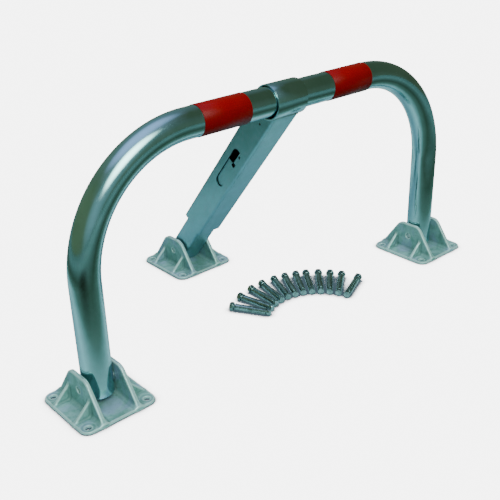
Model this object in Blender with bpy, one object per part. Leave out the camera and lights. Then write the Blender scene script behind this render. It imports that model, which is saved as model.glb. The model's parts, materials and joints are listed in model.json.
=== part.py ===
"""Fold-down parking hoop: a bent tube on two hinged feet, held up by a telescopic stay.

X runs along the hoop, Y towards the rear base, Z up. The ground is at z = 0, and the origin is
midway between the front pivots' line and the rear pivot. Metres throughout.
"""
import math

import bmesh
import bpy
from mathutils import Matrix, Vector

# ---------------------------------------------------------------- driving dimensions
# Hoop
LEG_SPACING = 0.960          # leg centre to leg centre
TOP_HEIGHT = 0.487           # centre line of the straight top above the ground
BEND_RADIUS = 0.239          # centre line of the two bends
HOOP_DIAMETER = 0.060
HOOP_WALL = 0.003
FOOT_SWING_GAP = 0.0013      # a foot's corner to the plate as it swings past
FOOT_CHAMFER = 0.0015        # outer edge of each leg's end

# Reflective bands
BAND_LENGTH = 0.114
BAND_FILM = 0.0006
BAND_LEFT_INSET = 0.023      # band's outer end to the start of the bend
BAND_RIGHT_INSET = 0.004

# Bases
STAY_REACH = 0.354           # front pivots to rear pivot
PIVOT_HEIGHT = 0.043
PLATE_SIZE = 0.160
PLATE_THICKNESS = 0.006
PLATE_CORNER = 0.019
EAR_HEIGHT = 0.075
EAR_THICKNESS = 0.008
EAR_INSET = 0.002            # ear's foot from the plate's edge
EAR_TOP = 0.058              # length of its top, before the shoulders are rounded
FRONT_SHOULDER = 0.015       # shoulder radius on the two front bases
REAR_SHOULDER = 0.028        # and on the rear base
RIB_HEIGHT = 0.041
RIB_INSET = 0.003            # rib's tip from the plate's edge
RIB_THICKNESS = 0.006
RIB_SPACING = 0.074          # between the two ribs of one ear
HOLE_INSET = 0.0165          # hole's centre from the plate's edges
HOLE_DIAMETER = 0.012
SPOT_FACE_DIAMETER = 0.026
SPOT_FACE_DEPTH = 0.0008

# Pivots
PIN_DIAMETER = 0.012
PIN_RECESS = 0.002           # pin end below the ear's outer face
BUSH_DIAMETER = 0.020
EAR_SIDE_GAP = 0.003         # hoop tube to ear
BUSH_SIDE_GAP = 0.0008       # bush end to ear

# Stay
OUTER_SIZE = 0.065           # square tube
OUTER_WALL = 0.0025
OUTER_CORNER = 0.005
INNER_WALL = 0.0025
INNER_CORNER = 0.005
SIDE_PLAY = 0.0008           # each side of the inner tube, along X
FRONT_PLAY = 0.0040          # in front of the inner tube, across the stay
REAR_PLAY = 0.0063           # behind it
STAY_OFFSET = -0.0005        # centre of the outer tube from the line between its pivots
INNER_RISE = 0.011           # inner tube's top end above the slot's upper end
LEAST_OVERLAP = 0.072        # of the two tubes when the hoop lies flat
COLLAR_LENGTH = 0.080
COLLAR_WALL = 0.003
COLLAR_PLAY = 0.003          # radial, on the hoop tube
SLOT_TOP = 0.161             # hoop axis to the slot's upper end, along the stay
SLOT_LENGTH = 0.122
SLOT_WIDTH = 0.026
SLOT_OFFSET = -0.001
VENT_DROP = 0.061            # hoop axis to the vent hole
VENT_OFFSET = -0.009
VENT_DIAMETER = 0.005

# Latch, cut in the inner tube's slot side
LATCH_DROP = 0.043           # slot's upper end to the latch's shelf
TONGUE_DROP = 0.006          # slot's upper end to the tongue's tip
TONGUE_SIDE = -0.004         # rear edge of the tongue, across the stay
NOTCH_HEIGHT = 0.011
NOTCH_RISE = 0.004           # top of the notch above the shelf
POST_SIDE = -0.002
NOTCH_SIDE = -0.011
EYE_DIAMETER = 0.0075
EYE_DROP = 0.015             # slot's upper end to the padlock eye
EYE_OFFSET = -0.0095
KEEPER_THICKNESS = 0.003
KEEPER_WIDTH = 0.014
KEEPER_FOOT = 0.030
KEEPER_RISE = 0.0016         # its step above the inner tube's top end
KEEPER_TIP = 0.010           # plate beyond the eye's centre

# Expansion anchors
ANCHOR_COUNT = 12
ANCHOR_LENGTH = 0.096
HEAD_ACROSS_FLATS = 0.017
HEAD_LENGTH = 0.009
NECK_LENGTH = 0.004          # bare shank between head and washer
SHANK_DIAMETER = 0.0096
WASHER_DIAMETER = 0.0166
WASHER_THICKNESS = 0.002
SLEEVE_DIAMETER = 0.0145
SLEEVE_WALL = 0.0020
CONE_LENGTH = 0.010
FAN_CENTRE = (0.035, -0.085)  # from the middle of the hoop's ground line
FAN_RADIUS = 0.114            # to the cone ends
FAN_FIRST_DEG = 127.0
FAN_LAST_DEG = 14.0
HEADINGS_DEG = (120, 103, 88, 78, 68, 62, 57, 54, 48, 43, 38, 25)

GAP = 0.0003                 # between pieces that touch
CUTTER_REACH = 0.003         # a cutter past the face it cuts
ROUND = 28                   # sides of a round tube
SMALL_ROUND = 20             # sides of a pin, bush or hole
TINY_ROUND = 12              # sides of an anchor
BEND_STEPS = 12
CORNER_STEPS = 4
ARC_STEPS = 6                # in a shoulder, a slot's end or the tongue's tip
SMOOTH_BELOW = math.radians(35)

# ---------------------------------------------------------------- derived places and sizes
HALF_SPACING = LEG_SPACING / 2
HOOP_RADIUS = HOOP_DIAMETER / 2
FRONT_Y = -STAY_REACH / 2
REAR_Y = STAY_REACH / 2
HOOP_REACH = TOP_HEIGHT - PIVOT_HEIGHT
STAY_LENGTH = math.hypot(HOOP_REACH, STAY_REACH)
STAY_LEAN = math.atan2(STAY_REACH, HOOP_REACH)
FLAT_LENGTH = HOOP_REACH + STAY_REACH

OUTER_BORE = OUTER_SIZE - 2 * OUTER_WALL
INNER_WIDTH = OUTER_BORE - 2 * SIDE_PLAY
INNER_DEPTH = OUTER_BORE - FRONT_PLAY - REAR_PLAY
INNER_OFFSET = STAY_OFFSET + (FRONT_PLAY - REAR_PLAY) / 2
INNER_TOP = SLOT_TOP - INNER_RISE

EAR_GAP = max(HOOP_DIAMETER, INNER_WIDTH) + 2 * EAR_SIDE_GAP
EAR_INSIDE = EAR_GAP / 2
EAR_OUTSIDE = EAR_INSIDE + EAR_THICKNESS
EAR_FOOT = PLATE_SIZE - 2 * EAR_INSET
HOLE_PITCH = PLATE_SIZE - 2 * HOLE_INSET
BUSH_LENGTH = EAR_GAP - 2 * BUSH_SIDE_GAP
PIN_LENGTH = 2 * (EAR_OUTSIDE - PIN_RECESS)

SWING_RADIUS = PIVOT_HEIGHT - PLATE_THICKNESS - FOOT_SWING_GAP
FOOT_DROP = math.sqrt(SWING_RADIUS ** 2 - (HOOP_RADIUS - FOOT_CHAMFER) ** 2)
INNER_TAIL = math.sqrt(SWING_RADIUS ** 2 - (INNER_DEPTH / 2 - INNER_OFFSET) ** 2)
STRAIGHT_END = HALF_SPACING - BEND_RADIUS
BAND_LEFT_X = -STRAIGHT_END + BAND_LEFT_INSET + BAND_LENGTH / 2
BAND_RIGHT_X = STRAIGHT_END - BAND_RIGHT_INSET - BAND_LENGTH / 2

OUTER_LENGTH = FLAT_LENGTH - (STAY_LENGTH - INNER_TOP) + LEAST_OVERLAP
COLLAR_BORE = HOOP_RADIUS + COLLAR_PLAY
COLLAR_RADIUS = COLLAR_BORE + COLLAR_WALL
COLLAR_SAG = COLLAR_PLAY - GAP
SLOT_SIDE_X = -OUTER_SIZE / 2

HEAD_CORNER = HEAD_ACROSS_FLATS / math.sqrt(3)
SLEEVE_BORE = SLEEVE_DIAMETER - 2 * SLEEVE_WALL
SLEEVE_START = HEAD_LENGTH + NECK_LENGTH + WASHER_THICKNESS + GAP
SLEEVE_LENGTH = ANCHOR_LENGTH - CONE_LENGTH - GAP - SLEEVE_START
ANCHOR_TILT = math.atan2((HEAD_ACROSS_FLATS - SLEEVE_DIAMETER) / 2, ANCHOR_LENGTH - HEAD_LENGTH)


# ---------------------------------------------------------------- materials
def steel_and_paint():
    """The part's materials: colour, roughness and metallic value."""
    looks = {
        "galvanised_steel": ((0.52, 0.60, 0.61), 0.28, 1.0),
        "cast_aluminium": ((0.50, 0.56, 0.56), 0.55, 0.8),
        "red_reflective": ((0.62, 0.01, 0.01), 0.40, 0.0),
        "pin_steel": ((0.45, 0.47, 0.48), 0.35, 1.0),
        "anchor_zinc": ((0.34, 0.38, 0.37), 0.32, 1.0),
    }
    made = {}
    for name, (colour, roughness, metallic) in looks.items():
        material = bpy.data.materials.new(name)
        material.use_nodes = True
        shader = material.node_tree.nodes["Principled BSDF"]
        shader.inputs["Base Color"].default_value = (*colour, 1.0)
        shader.inputs["Roughness"].default_value = roughness
        shader.inputs["Metallic"].default_value = metallic
        made[name] = material
    return made


# ---------------------------------------------------------------- outlines
def rounded(points, radii, steps=CORNER_STEPS):
    """Round the corners of a closed outline; one radius for each corner."""
    outline = []
    count = len(points)
    for index, radius in enumerate(radii):
        corner = Vector(points[index])
        before = (Vector(points[index - 1]) - corner).normalized()
        after = (Vector(points[(index + 1) % count]) - corner).normalized()
        if radius <= 0:
            outline.append(tuple(corner))
            continue
        half = before.angle(after) / 2
        centre = corner + (before + after).normalized() * (radius / math.sin(half))
        first = corner + before * (radius / math.tan(half)) - centre
        last = corner + after * (radius / math.tan(half)) - centre
        sweep = math.atan2(first.cross(last), first.dot(last))
        for step in range(steps + 1):
            spoke = Matrix.Rotation(sweep * step / steps, 2) @ first
            outline.append(tuple(centre + spoke))
    return outline


def rectangle(width, depth, radius, centre=(0.0, 0.0)):
    """A rounded rectangle, counter-clockwise."""
    right, back = width / 2, depth / 2
    corners = [(right, -back), (right, back), (-right, back), (-right, -back)]
    placed = [(x + centre[0], y + centre[1]) for x, y in corners]
    return rounded(placed, [radius] * 4)


def circle(radius, sides, centre=(0.0, 0.0), first=0.5):
    """A circle as an even polygon, counter-clockwise; first is the first corner's turn, in sides."""
    turns = [2 * math.pi * (side + first) / sides for side in range(sides)]
    return [(centre[0] + radius * math.cos(t), centre[1] + radius * math.sin(t)) for t in turns]


def obround(length, width, centre):
    """A slot outline with half-round ends, long along its second axis."""
    reach = (length - width) / 2
    outline = []
    for middle, start in ((reach, 0.0), (-reach, math.pi)):
        for step in range(ARC_STEPS + 1):
            turn = start + math.pi * step / ARC_STEPS
            x = centre[0] + width / 2 * math.cos(turn)
            outline.append((x, centre[1] + middle + width / 2 * math.sin(turn)))
    return outline


# ---------------------------------------------------------------- meshes
ALONG = {
    "X": Matrix(((0, 0, 1), (1, 0, 0), (0, 1, 0))).to_4x4(),   # outline in Y and Z, extruded along X
    "Y": Matrix(((-1, 0, 0), (0, 0, 1), (0, 1, 0))).to_4x4(),  # outline in -X and Z, along Y
    "Z": Matrix.Identity(4),                                   # outline in X and Y, along Z
}


def ringed_mesh(name, rings, loop=False):
    """A skin over rings with equal point counts; the ends are capped, or the last joins the first."""
    shape = bmesh.new()
    rows = [[shape.verts.new(point) for point in ring] for ring in rings]
    pairs = list(zip(rows, rows[1:]))
    if loop:
        pairs.append((rows[-1], rows[0]))
    for low, high in pairs:
        count = len(low)
        for side in range(count):
            near, far = side, (side + 1) % count
            shape.faces.new((low[near], low[far], high[far], high[near]))
    if not loop:
        shape.faces.new(reversed(rows[0]))
        shape.faces.new(rows[-1])
    bmesh.ops.recalc_face_normals(shape, faces=shape.faces)
    mesh = bpy.data.meshes.new(name)
    shape.to_mesh(mesh)
    shape.free()
    return mesh


def prism(name, outline, start, end, along="Z"):
    """A solid extrusion of an outline."""
    rings = [[ALONG[along] @ Vector((u, v, w)) for u, v in outline] for w in (start, end)]
    return ringed_mesh(name, rings)


def hollow_prism(name, outside, inside, start, end, along="Z"):
    """A tube between two outlines with equal point counts."""
    rows = ((outside, start), (outside, end), (inside, end), (inside, start))
    rings = [[ALONG[along] @ Vector((u, v, w)) for u, v in outline] for outline, w in rows]
    return ringed_mesh(name, rings, loop=True)


def turned(name, profile, sides, along="X"):
    """A solid of revolution from (position, radius) pairs, capped at both ends."""
    rings = []
    for position, radius in profile:
        rings.append([ALONG[along] @ Vector((u, v, position)) for u, v in circle(radius, sides)])
    return ringed_mesh(name, rings)


# ---------------------------------------------------------------- objects
def place(name, mesh, material, at=(0.0, 0.0, 0.0), parent=None, smooth=True):
    """Put a mesh in the scene as a named object."""
    if smooth:
        mesh.shade_smooth()
        mesh.set_sharp_from_angle(angle=SMOOTH_BELOW)
    if not mesh.materials:
        mesh.materials.append(material)
    thing = bpy.data.objects.new(name, mesh)
    thing.location = at
    thing.parent = parent
    bpy.context.scene.collection.objects.link(thing)
    return thing


def pivot(name, at, lean=0.0):
    """An empty on a joint's axis, leaning about X."""
    empty = bpy.data.objects.new(name, None)
    empty.location = at
    empty.rotation_euler.x = lean
    empty.empty_display_size = 0.05
    bpy.context.scene.collection.objects.link(empty)
    return empty


def combine(thing, operation, meshes):
    """Join meshes to an object, or cut them from it, as a live Boolean."""
    group = bpy.data.collections.new(f"{thing.name}_{operation.lower()}")
    bpy.context.scene.collection.children.link(group)
    for mesh in meshes:
        guide = bpy.data.objects.new(mesh.name, mesh)
        guide.location = thing.location
        guide.parent = thing.parent
        guide.hide_render = True
        guide.display_type = "WIRE"
        group.objects.link(guide)
    boolean = thing.modifiers.new(operation.title(), "BOOLEAN")
    boolean.operation = operation
    boolean.operand_type = "COLLECTION"
    boolean.collection = group
    boolean.solver = "EXACT"


# ---------------------------------------------------------------- bases and pins
def ear_outline(shoulder):
    """Side view of an ear, from inside the plate to its rounded top."""
    sunk = PLATE_THICKNESS / 2
    foot = EAR_FOOT / 2
    top = EAR_TOP / 2
    points = [(-foot, sunk), (foot, sunk), (foot, PLATE_THICKNESS), (top, EAR_HEIGHT),
              (-top, EAR_HEIGHT), (-foot, PLATE_THICKNESS)]
    return rounded(points, [0, 0, 0, shoulder, shoulder, 0], ARC_STEPS)


def rib_outline(side):
    """Front view of a rib on the ear at the given side (-1 or 1), in -X and Z."""
    root = EAR_OUTSIDE - EAR_THICKNESS / 2
    tip = PLATE_SIZE / 2 - RIB_INSET
    sunk = PLATE_THICKNESS / 2
    points = [(root, sunk), (tip, sunk), (tip, PLATE_THICKNESS), (EAR_OUTSIDE, RIB_HEIGHT),
              (root, RIB_HEIGHT)]
    return [(-side * x, z) for x, z in points]


def anchor_hole(index, x, y):
    """A cutter for an anchor hole and the spot-face over it."""
    bottom = PLATE_THICKNESS - SPOT_FACE_DEPTH
    hole = HOLE_DIAMETER / 2
    spot_face = SPOT_FACE_DIAMETER / 2
    profile = ((-CUTTER_REACH, hole), (bottom, hole), (bottom, spot_face),
               (PLATE_THICKNESS + CUTTER_REACH, spot_face))
    mesh = turned(f"anchor_hole_{index}", profile, SMALL_ROUND, along="Z")
    mesh.transform(Matrix.Translation((x, y, 0)))
    return mesh


def make_base(name, x, y, shoulder, looks):
    """One casting: plate, two ears with two ribs each, four anchor holes and the pivot bore."""
    plate = prism(name, rectangle(PLATE_SIZE, PLATE_SIZE, PLATE_CORNER), 0, PLATE_THICKNESS)
    base = place(name, plate, looks["cast_aluminium"], at=(x, y, 0))
    added = []
    for side in (-1, 1):
        near, far = sorted((side * EAR_INSIDE, side * EAR_OUTSIDE))
        added.append(prism(f"{name}_ear", ear_outline(shoulder), near, far, along="X"))
        for rib in (-1, 1):
            middle = rib * RIB_SPACING / 2
            added.append(prism(f"{name}_rib", rib_outline(side), middle - RIB_THICKNESS / 2,
                               middle + RIB_THICKNESS / 2, along="Y"))
    combine(base, "UNION", added)
    half_pitch = HOLE_PITCH / 2
    corners = [(i, j) for i in (-half_pitch, half_pitch) for j in (-half_pitch, half_pitch)]
    removed = [anchor_hole(index, i, j) for index, (i, j) in enumerate(corners)]
    bore = prism(f"{name}_bore", circle(PIN_DIAMETER / 2 + GAP, SMALL_ROUND, (0, PIVOT_HEIGHT)),
                 -EAR_OUTSIDE - CUTTER_REACH, EAR_OUTSIDE + CUTTER_REACH, along="X")
    combine(base, "DIFFERENCE", removed + [bore])


def make_pin(name, x, y, looks):
    """A plain pin through both ears of a base."""
    mesh = prism(name, circle(PIN_DIAMETER / 2, SMALL_ROUND), -PIN_LENGTH / 2, PIN_LENGTH / 2, along="X")
    place(name, mesh, looks["pin_steel"], at=(x, y, PIVOT_HEIGHT))


def make_bush(name, x, parent, looks):
    """A tube welded across a foot, turning on its pin."""
    outside = circle(BUSH_DIAMETER / 2, SMALL_ROUND)
    inside = circle(PIN_DIAMETER / 2 + GAP, SMALL_ROUND)
    mesh = hollow_prism(name, outside, inside, -BUSH_LENGTH / 2, BUSH_LENGTH / 2, along="X")
    place(name, mesh, looks["pin_steel"], at=(x, 0, 0), parent=parent)


# ---------------------------------------------------------------- hoop
def hoop_stations():
    """Places along the centre line with the direction of the tube's outward side in the X-Z plane.

    Heights are measured from the front pivots.
    """
    bend_z = HOOP_REACH - BEND_RADIUS
    left = [(-HALF_SPACING, -FOOT_DROP, 180.0, HOOP_RADIUS - FOOT_CHAMFER)]
    left.append((-HALF_SPACING, FOOT_CHAMFER - FOOT_DROP, 180.0, HOOP_RADIUS))
    for step in range(BEND_STEPS + 1):
        turn = math.radians(180 - 90 * step / BEND_STEPS)
        x = -STRAIGHT_END + BEND_RADIUS * math.cos(turn)
        z = bend_z + BEND_RADIUS * math.sin(turn)
        left.append((x, z, math.degrees(turn), HOOP_RADIUS))
    right = [(-x, z, 180 - outward, radius) for x, z, outward, radius in reversed(left)]
    return left + right


def hoop_ring(x, z, outward, radius):
    """A circle across the tube at one station."""
    turn = math.radians(outward)
    side = Vector((math.cos(turn), 0, math.sin(turn)))
    return [Vector((x, 0, z)) + side * u + Vector((0, v, 0)) for u, v in circle(radius, ROUND)]


def make_hoop(parent, looks):
    """The bent tube, its reflective bands and the bushes in its feet."""
    stations = hoop_stations()
    outside = [hoop_ring(x, z, outward, radius) for x, z, outward, radius in stations]
    bore = HOOP_RADIUS - HOOP_WALL
    inside = [hoop_ring(x, z, outward, bore) for x, z, outward, radius in reversed(stations)]
    mesh = ringed_mesh("hoop_tube", outside + inside, loop=True)
    hoop = place("hoop_tube", mesh, looks["galvanised_steel"], parent=parent)
    holes = []
    for x in (-HALF_SPACING, HALF_SPACING):
        outline = circle(BUSH_DIAMETER / 2 + GAP, SMALL_ROUND)
        reach = HOOP_RADIUS + CUTTER_REACH
        holes.append(prism("foot_hole", outline, x - reach, x + reach, along="X"))
    combine(hoop, "DIFFERENCE", holes)
    make_bush("left_foot_bush", -HALF_SPACING, parent, looks)
    make_bush("right_foot_bush", HALF_SPACING, parent, looks)

    film_bore = HOOP_RADIUS + GAP
    for name, x in (("left_reflective_band", BAND_LEFT_X), ("right_reflective_band", BAND_RIGHT_X)):
        band = hollow_prism(name, circle(film_bore + BAND_FILM, ROUND), circle(film_bore, ROUND),
                            -BAND_LENGTH / 2, BAND_LENGTH / 2, along="X")
        place(name, band, looks["red_reflective"], at=(x, 0, HOOP_REACH), parent=parent)


# ---------------------------------------------------------------- stay
def make_outer_stay(parent, looks):
    """Outer tube, collar and lock keeper; the parent's origin is the hoop's axis, -Z down the stay."""
    centre = (0, STAY_OFFSET)
    outside = rectangle(OUTER_SIZE, OUTER_SIZE, OUTER_CORNER, centre)
    inside = rectangle(OUTER_BORE, OUTER_BORE, OUTER_CORNER - OUTER_WALL, centre)
    mesh = hollow_prism("outer_stay_tube", outside, inside, -OUTER_LENGTH, 0)
    tube = place("outer_stay_tube", mesh, looks["galvanised_steel"], parent=parent)
    cope = prism("collar_cope", circle(COLLAR_RADIUS + GAP, ROUND, (0, -COLLAR_SAG)),
                 -COLLAR_LENGTH / 2, COLLAR_LENGTH / 2, along="X")
    through_wall = (SLOT_SIDE_X - OUTER_WALL, SLOT_SIDE_X + 2 * OUTER_WALL)
    slot_middle = (SLOT_OFFSET, -SLOT_TOP - SLOT_LENGTH / 2)
    slot = prism("padlock_slot", obround(SLOT_LENGTH, SLOT_WIDTH, slot_middle), *through_wall, along="X")
    vent = prism("vent_hole", circle(VENT_DIAMETER / 2, TINY_ROUND, (VENT_OFFSET, -VENT_DROP)),
                 *through_wall, along="X")
    combine(tube, "DIFFERENCE", [cope, slot, vent])

    collar = hollow_prism("stay_collar", circle(COLLAR_RADIUS, ROUND, (0, -COLLAR_SAG)),
                          circle(COLLAR_BORE, ROUND, (0, -COLLAR_SAG)),
                          -COLLAR_LENGTH / 2, COLLAR_LENGTH / 2, along="X")
    place("stay_collar", collar, looks["galvanised_steel"], parent=parent)
    make_keeper(parent, looks)


def make_keeper(parent, looks):
    """A stepped plate on the tube's slot side, its eye in line with the tongue's."""
    wall = -OUTER_BORE / 2 + GAP
    face = -INNER_WIDTH / 2 + INNER_WALL + SIDE_PLAY
    back = face + KEEPER_THICKNESS
    step = -INNER_TOP + KEEPER_RISE
    top = step + KEEPER_FOOT
    tip = -SLOT_TOP - EYE_DROP - KEEPER_TIP
    outline = [(-wall, top), (-wall, step), (-face, step), (-face, tip), (-back, tip), (-back, top)]
    near = EYE_OFFSET - KEEPER_WIDTH / 2
    mesh = prism("lock_keeper", outline, near, near + KEEPER_WIDTH, along="Y")
    keeper = place("lock_keeper", mesh, looks["pin_steel"], parent=parent, smooth=False)
    eye = prism("keeper_eye", circle(EYE_DIAMETER / 2, TINY_ROUND, (EYE_OFFSET, -SLOT_TOP - EYE_DROP)),
                face - OUTER_WALL, back + OUTER_WALL, along="X")
    combine(keeper, "DIFFERENCE", [eye])


def latch_outline(pivot_to_hoop):
    """The window in the inner tube's slot side: shelf, notch and the edge of the tongue."""
    slot_top = pivot_to_hoop - SLOT_TOP
    shelf = slot_top - LATCH_DROP
    above = pivot_to_hoop - INNER_TOP + OUTER_WALL
    front = SLOT_OFFSET - SLOT_WIDTH / 2 - SIDE_PLAY
    rear = SLOT_OFFSET + SLOT_WIDTH / 2 + SIDE_PLAY
    tip = slot_top - TONGUE_DROP
    points = [(front, above), (front, tip), (TONGUE_SIDE, tip), (TONGUE_SIDE, shelf + NOTCH_RISE),
              (NOTCH_SIDE, shelf + NOTCH_RISE), (NOTCH_SIDE, shelf + NOTCH_RISE - NOTCH_HEIGHT),
              (POST_SIDE, shelf + NOTCH_RISE - NOTCH_HEIGHT), (POST_SIDE, shelf), (rear, shelf),
              (rear, above)]
    tongue_round = (TONGUE_SIDE - front) / 2
    return rounded(points, [0, 0, tongue_round, 0, 0, 0, 0, 0, 0, 0], ARC_STEPS)


def make_inner_stay(parent, looks):
    """Inner tube and its foot bush; the parent's origin is the rear pivot, +Z up the stay."""
    centre = (0, INNER_OFFSET)
    outside = rectangle(INNER_WIDTH, INNER_DEPTH, INNER_CORNER, centre)
    inside = rectangle(INNER_WIDTH - 2 * INNER_WALL, INNER_DEPTH - 2 * INNER_WALL,
                       INNER_CORNER - INNER_WALL, centre)
    mesh = hollow_prism("inner_stay_tube", outside, inside, -INNER_TAIL, STAY_LENGTH - INNER_TOP)
    tube = place("inner_stay_tube", mesh, looks["galvanised_steel"], parent=parent)
    side = -INNER_WIDTH / 2
    through_wall = (side - INNER_WALL, side + 2 * INNER_WALL)
    latch = prism("latch_window", latch_outline(STAY_LENGTH), *through_wall, along="X")
    eye_at = (EYE_OFFSET, STAY_LENGTH - SLOT_TOP - EYE_DROP)
    eye = prism("tongue_eye", circle(EYE_DIAMETER / 2, TINY_ROUND, eye_at), *through_wall, along="X")
    foot = prism("inner_foot_hole", circle(BUSH_DIAMETER / 2 + GAP, SMALL_ROUND), -INNER_WIDTH, INNER_WIDTH,
                 along="X")
    combine(tube, "DIFFERENCE", [latch, eye, foot])
    make_bush("inner_foot_bush", 0, parent, looks)


# ---------------------------------------------------------------- anchors
def anchor_meshes():
    """Bolt, washer and sleeve along +X, with the head's end at x = 0."""
    shank = SHANK_DIAMETER / 2
    cone = SLEEVE_DIAMETER / 2
    cone_start = ANCHOR_LENGTH - CONE_LENGTH
    head = prism("anchor_bolt", circle(HEAD_CORNER, 6, first=0), 0, HEAD_LENGTH, along="X")
    shaft = turned("shaft", ((HEAD_LENGTH / 2, shank), (cone_start, shank), (cone_start, shank + GAP),
                             (ANCHOR_LENGTH - CONE_LENGTH / 2, cone), (ANCHOR_LENGTH, cone)), TINY_ROUND)
    washer = hollow_prism("washer", circle(WASHER_DIAMETER / 2, TINY_ROUND), circle(shank + GAP, TINY_ROUND),
                          HEAD_LENGTH + NECK_LENGTH, HEAD_LENGTH + NECK_LENGTH + WASHER_THICKNESS, along="X")
    sleeve = hollow_prism("sleeve", circle(cone, TINY_ROUND), circle(SLEEVE_BORE / 2, TINY_ROUND),
                          SLEEVE_START, SLEEVE_START + SLEEVE_LENGTH, along="X")
    return head, shaft, washer, sleeve


def make_anchors(looks):
    """Twelve loose anchors on the ground, fanned out with their cone ends on an arc."""
    head, shaft, washer, sleeve = anchor_meshes()
    for index in range(ANCHOR_COUNT):
        share = index / (ANCHOR_COUNT - 1)
        turn = math.radians(FAN_FIRST_DEG + share * (FAN_LAST_DEG - FAN_FIRST_DEG))
        heading = math.radians(HEADINGS_DEG[index % len(HEADINGS_DEG)])
        outward = Vector((math.cos(heading), math.sin(heading), 0))
        cone_end = Vector((FAN_CENTRE[0] + FAN_RADIUS * math.cos(turn),
                           FRONT_Y + FAN_CENTRE[1] + FAN_RADIUS * math.sin(turn), 0))
        rest = HEAD_ACROSS_FLATS / 2 / math.cos(ANCHOR_TILT) + GAP / 2
        at = cone_end + outward * ANCHOR_LENGTH + Vector((0, 0, rest))
        spin = (0, ANCHOR_TILT, heading + math.pi)
        number = f"{index + 1:02d}"
        bolt = place(f"anchor_bolt_{number}", head, looks["anchor_zinc"], at=at, smooth=index == 0)
        pieces = [bolt]
        for name, mesh in (("anchor_washer", washer), ("anchor_sleeve", sleeve)):
            pieces.append(place(f"{name}_{number}", mesh, looks["anchor_zinc"], at=at, smooth=index == 0))
        combine(bolt, "UNION", [shaft])
        for thing in pieces + list(bpy.data.collections[f"anchor_bolt_{number}_union"].objects):
            thing.rotation_euler = spin


# ---------------------------------------------------------------- the whole lock
def main():
    """Clear the scene and build every piece where it stands, with the hoop up."""
    for thing in list(bpy.data.objects):
        bpy.data.objects.remove(thing)
    looks = steel_and_paint()
    supports = (("left", -HALF_SPACING, FRONT_Y, FRONT_SHOULDER),
                ("right", HALF_SPACING, FRONT_Y, FRONT_SHOULDER),
                ("rear", 0.0, REAR_Y, REAR_SHOULDER))
    for name, x, y, shoulder in supports:
        make_base(f"{name}_base", x, y, shoulder, looks)
        make_pin(f"{name}_pivot_pin", x, y, looks)
    make_hoop(pivot("hoop_pivot", (0, FRONT_Y, PIVOT_HEIGHT)), looks)
    make_outer_stay(pivot("collar_pivot", (0, FRONT_Y, TOP_HEIGHT), STAY_LEAN), looks)
    make_inner_stay(pivot("rear_pivot", (0, REAR_Y, PIVOT_HEIGHT), STAY_LEAN), looks)
    make_anchors(looks)


main()
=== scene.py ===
# %% [markdown]
# # A fold-down parking hoop, finished for the camera
# The frame holds the working model: three cast bases, a bent tube on two hinged feet, a telescopic
# stay with its latch, and twelve loose ground anchors. This lesson dresses it. Each step makes one
# piece finer than the working model, or gives one surface its finish, and every size comes from the
# frame or from a named value beside it. First the frame is loaded.

# %% Load the frame
import json
import math

import bmesh
import bpy
import numpy as np
from mathutils import Matrix, Vector


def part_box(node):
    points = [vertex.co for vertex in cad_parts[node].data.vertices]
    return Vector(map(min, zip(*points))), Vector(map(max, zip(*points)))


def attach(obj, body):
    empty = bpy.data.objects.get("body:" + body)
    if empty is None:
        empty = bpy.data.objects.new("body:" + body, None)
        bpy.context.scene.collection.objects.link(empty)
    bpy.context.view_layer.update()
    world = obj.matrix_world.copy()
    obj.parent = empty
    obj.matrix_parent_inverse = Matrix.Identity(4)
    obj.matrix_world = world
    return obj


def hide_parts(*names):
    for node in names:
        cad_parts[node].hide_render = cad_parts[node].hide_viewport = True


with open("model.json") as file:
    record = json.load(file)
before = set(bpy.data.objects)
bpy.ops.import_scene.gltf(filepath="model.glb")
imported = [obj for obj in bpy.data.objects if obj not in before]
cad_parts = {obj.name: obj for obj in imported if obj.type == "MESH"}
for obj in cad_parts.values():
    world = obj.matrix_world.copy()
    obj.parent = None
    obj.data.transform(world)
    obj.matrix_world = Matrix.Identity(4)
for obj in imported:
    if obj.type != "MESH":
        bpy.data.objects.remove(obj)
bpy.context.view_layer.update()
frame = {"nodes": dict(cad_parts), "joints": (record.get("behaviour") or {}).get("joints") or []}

MM = 0.001


# %% [markdown]
# Places are read from the frame instead of typed in. A node's vertices give its box and, with one
# line of linear algebra, the direction it points in; a joint gives the axis that a piece turns on.

# %% Measuring the frame
def vertices_of(mesh):
    """Vertex places as rows of x, y and z."""
    places = np.empty(len(mesh.vertices) * 3)
    mesh.vertices.foreach_get("co", places)
    return places.reshape(-1, 3)


def spots_of(node):
    """Every vertex of a CAD node."""
    return vertices_of(frame["nodes"][node].data)


def joint_place(name):
    """Where a joint's axis is."""
    return Vector(next(joint["pos_m"] for joint in frame["joints"] if joint["name"] == name))


def middle_of(node):
    """Centre of a node's box."""
    low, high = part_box(node)
    return (low + high) / 2


def half_of(node, axis):
    """Half the size of a node's box along an axis."""
    low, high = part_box(node)
    return (high[axis] - low[axis]) / 2


X, Y, Z = 0, 1, 2
hoop_low, hoop_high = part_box("hoop_tube")
TUBE_RADIUS = half_of("hoop_tube", Y)
HOOP_Y = (hoop_high.y + hoop_low.y) / 2
LEG_X = hoop_high.x - TUBE_RADIUS
TOP_Z = hoop_high.z - TUBE_RADIUS
FOOT_Z = hoop_low.z
crown = spots_of("hoop_tube")
STRAIGHT_X = abs(crown[crown[:, 2] > hoop_high.z - 0.5 * MM][:, 0]).max()
BEND_RADIUS = LEG_X - STRAIGHT_X
STAY_TOP = joint_place("collar_turn")
STAY_FOOT = joint_place("stay_foot_turn")
STAY_LEAN = math.atan2(STAY_FOOT.y - STAY_TOP.y, STAY_TOP.z - STAY_FOOT.z)
print(f"tube {2000 * TUBE_RADIUS:.1f} mm, bends {1000 * BEND_RADIUS:.0f} mm,",
      f"stay leans {math.degrees(STAY_LEAN):.1f} degrees")


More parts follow.
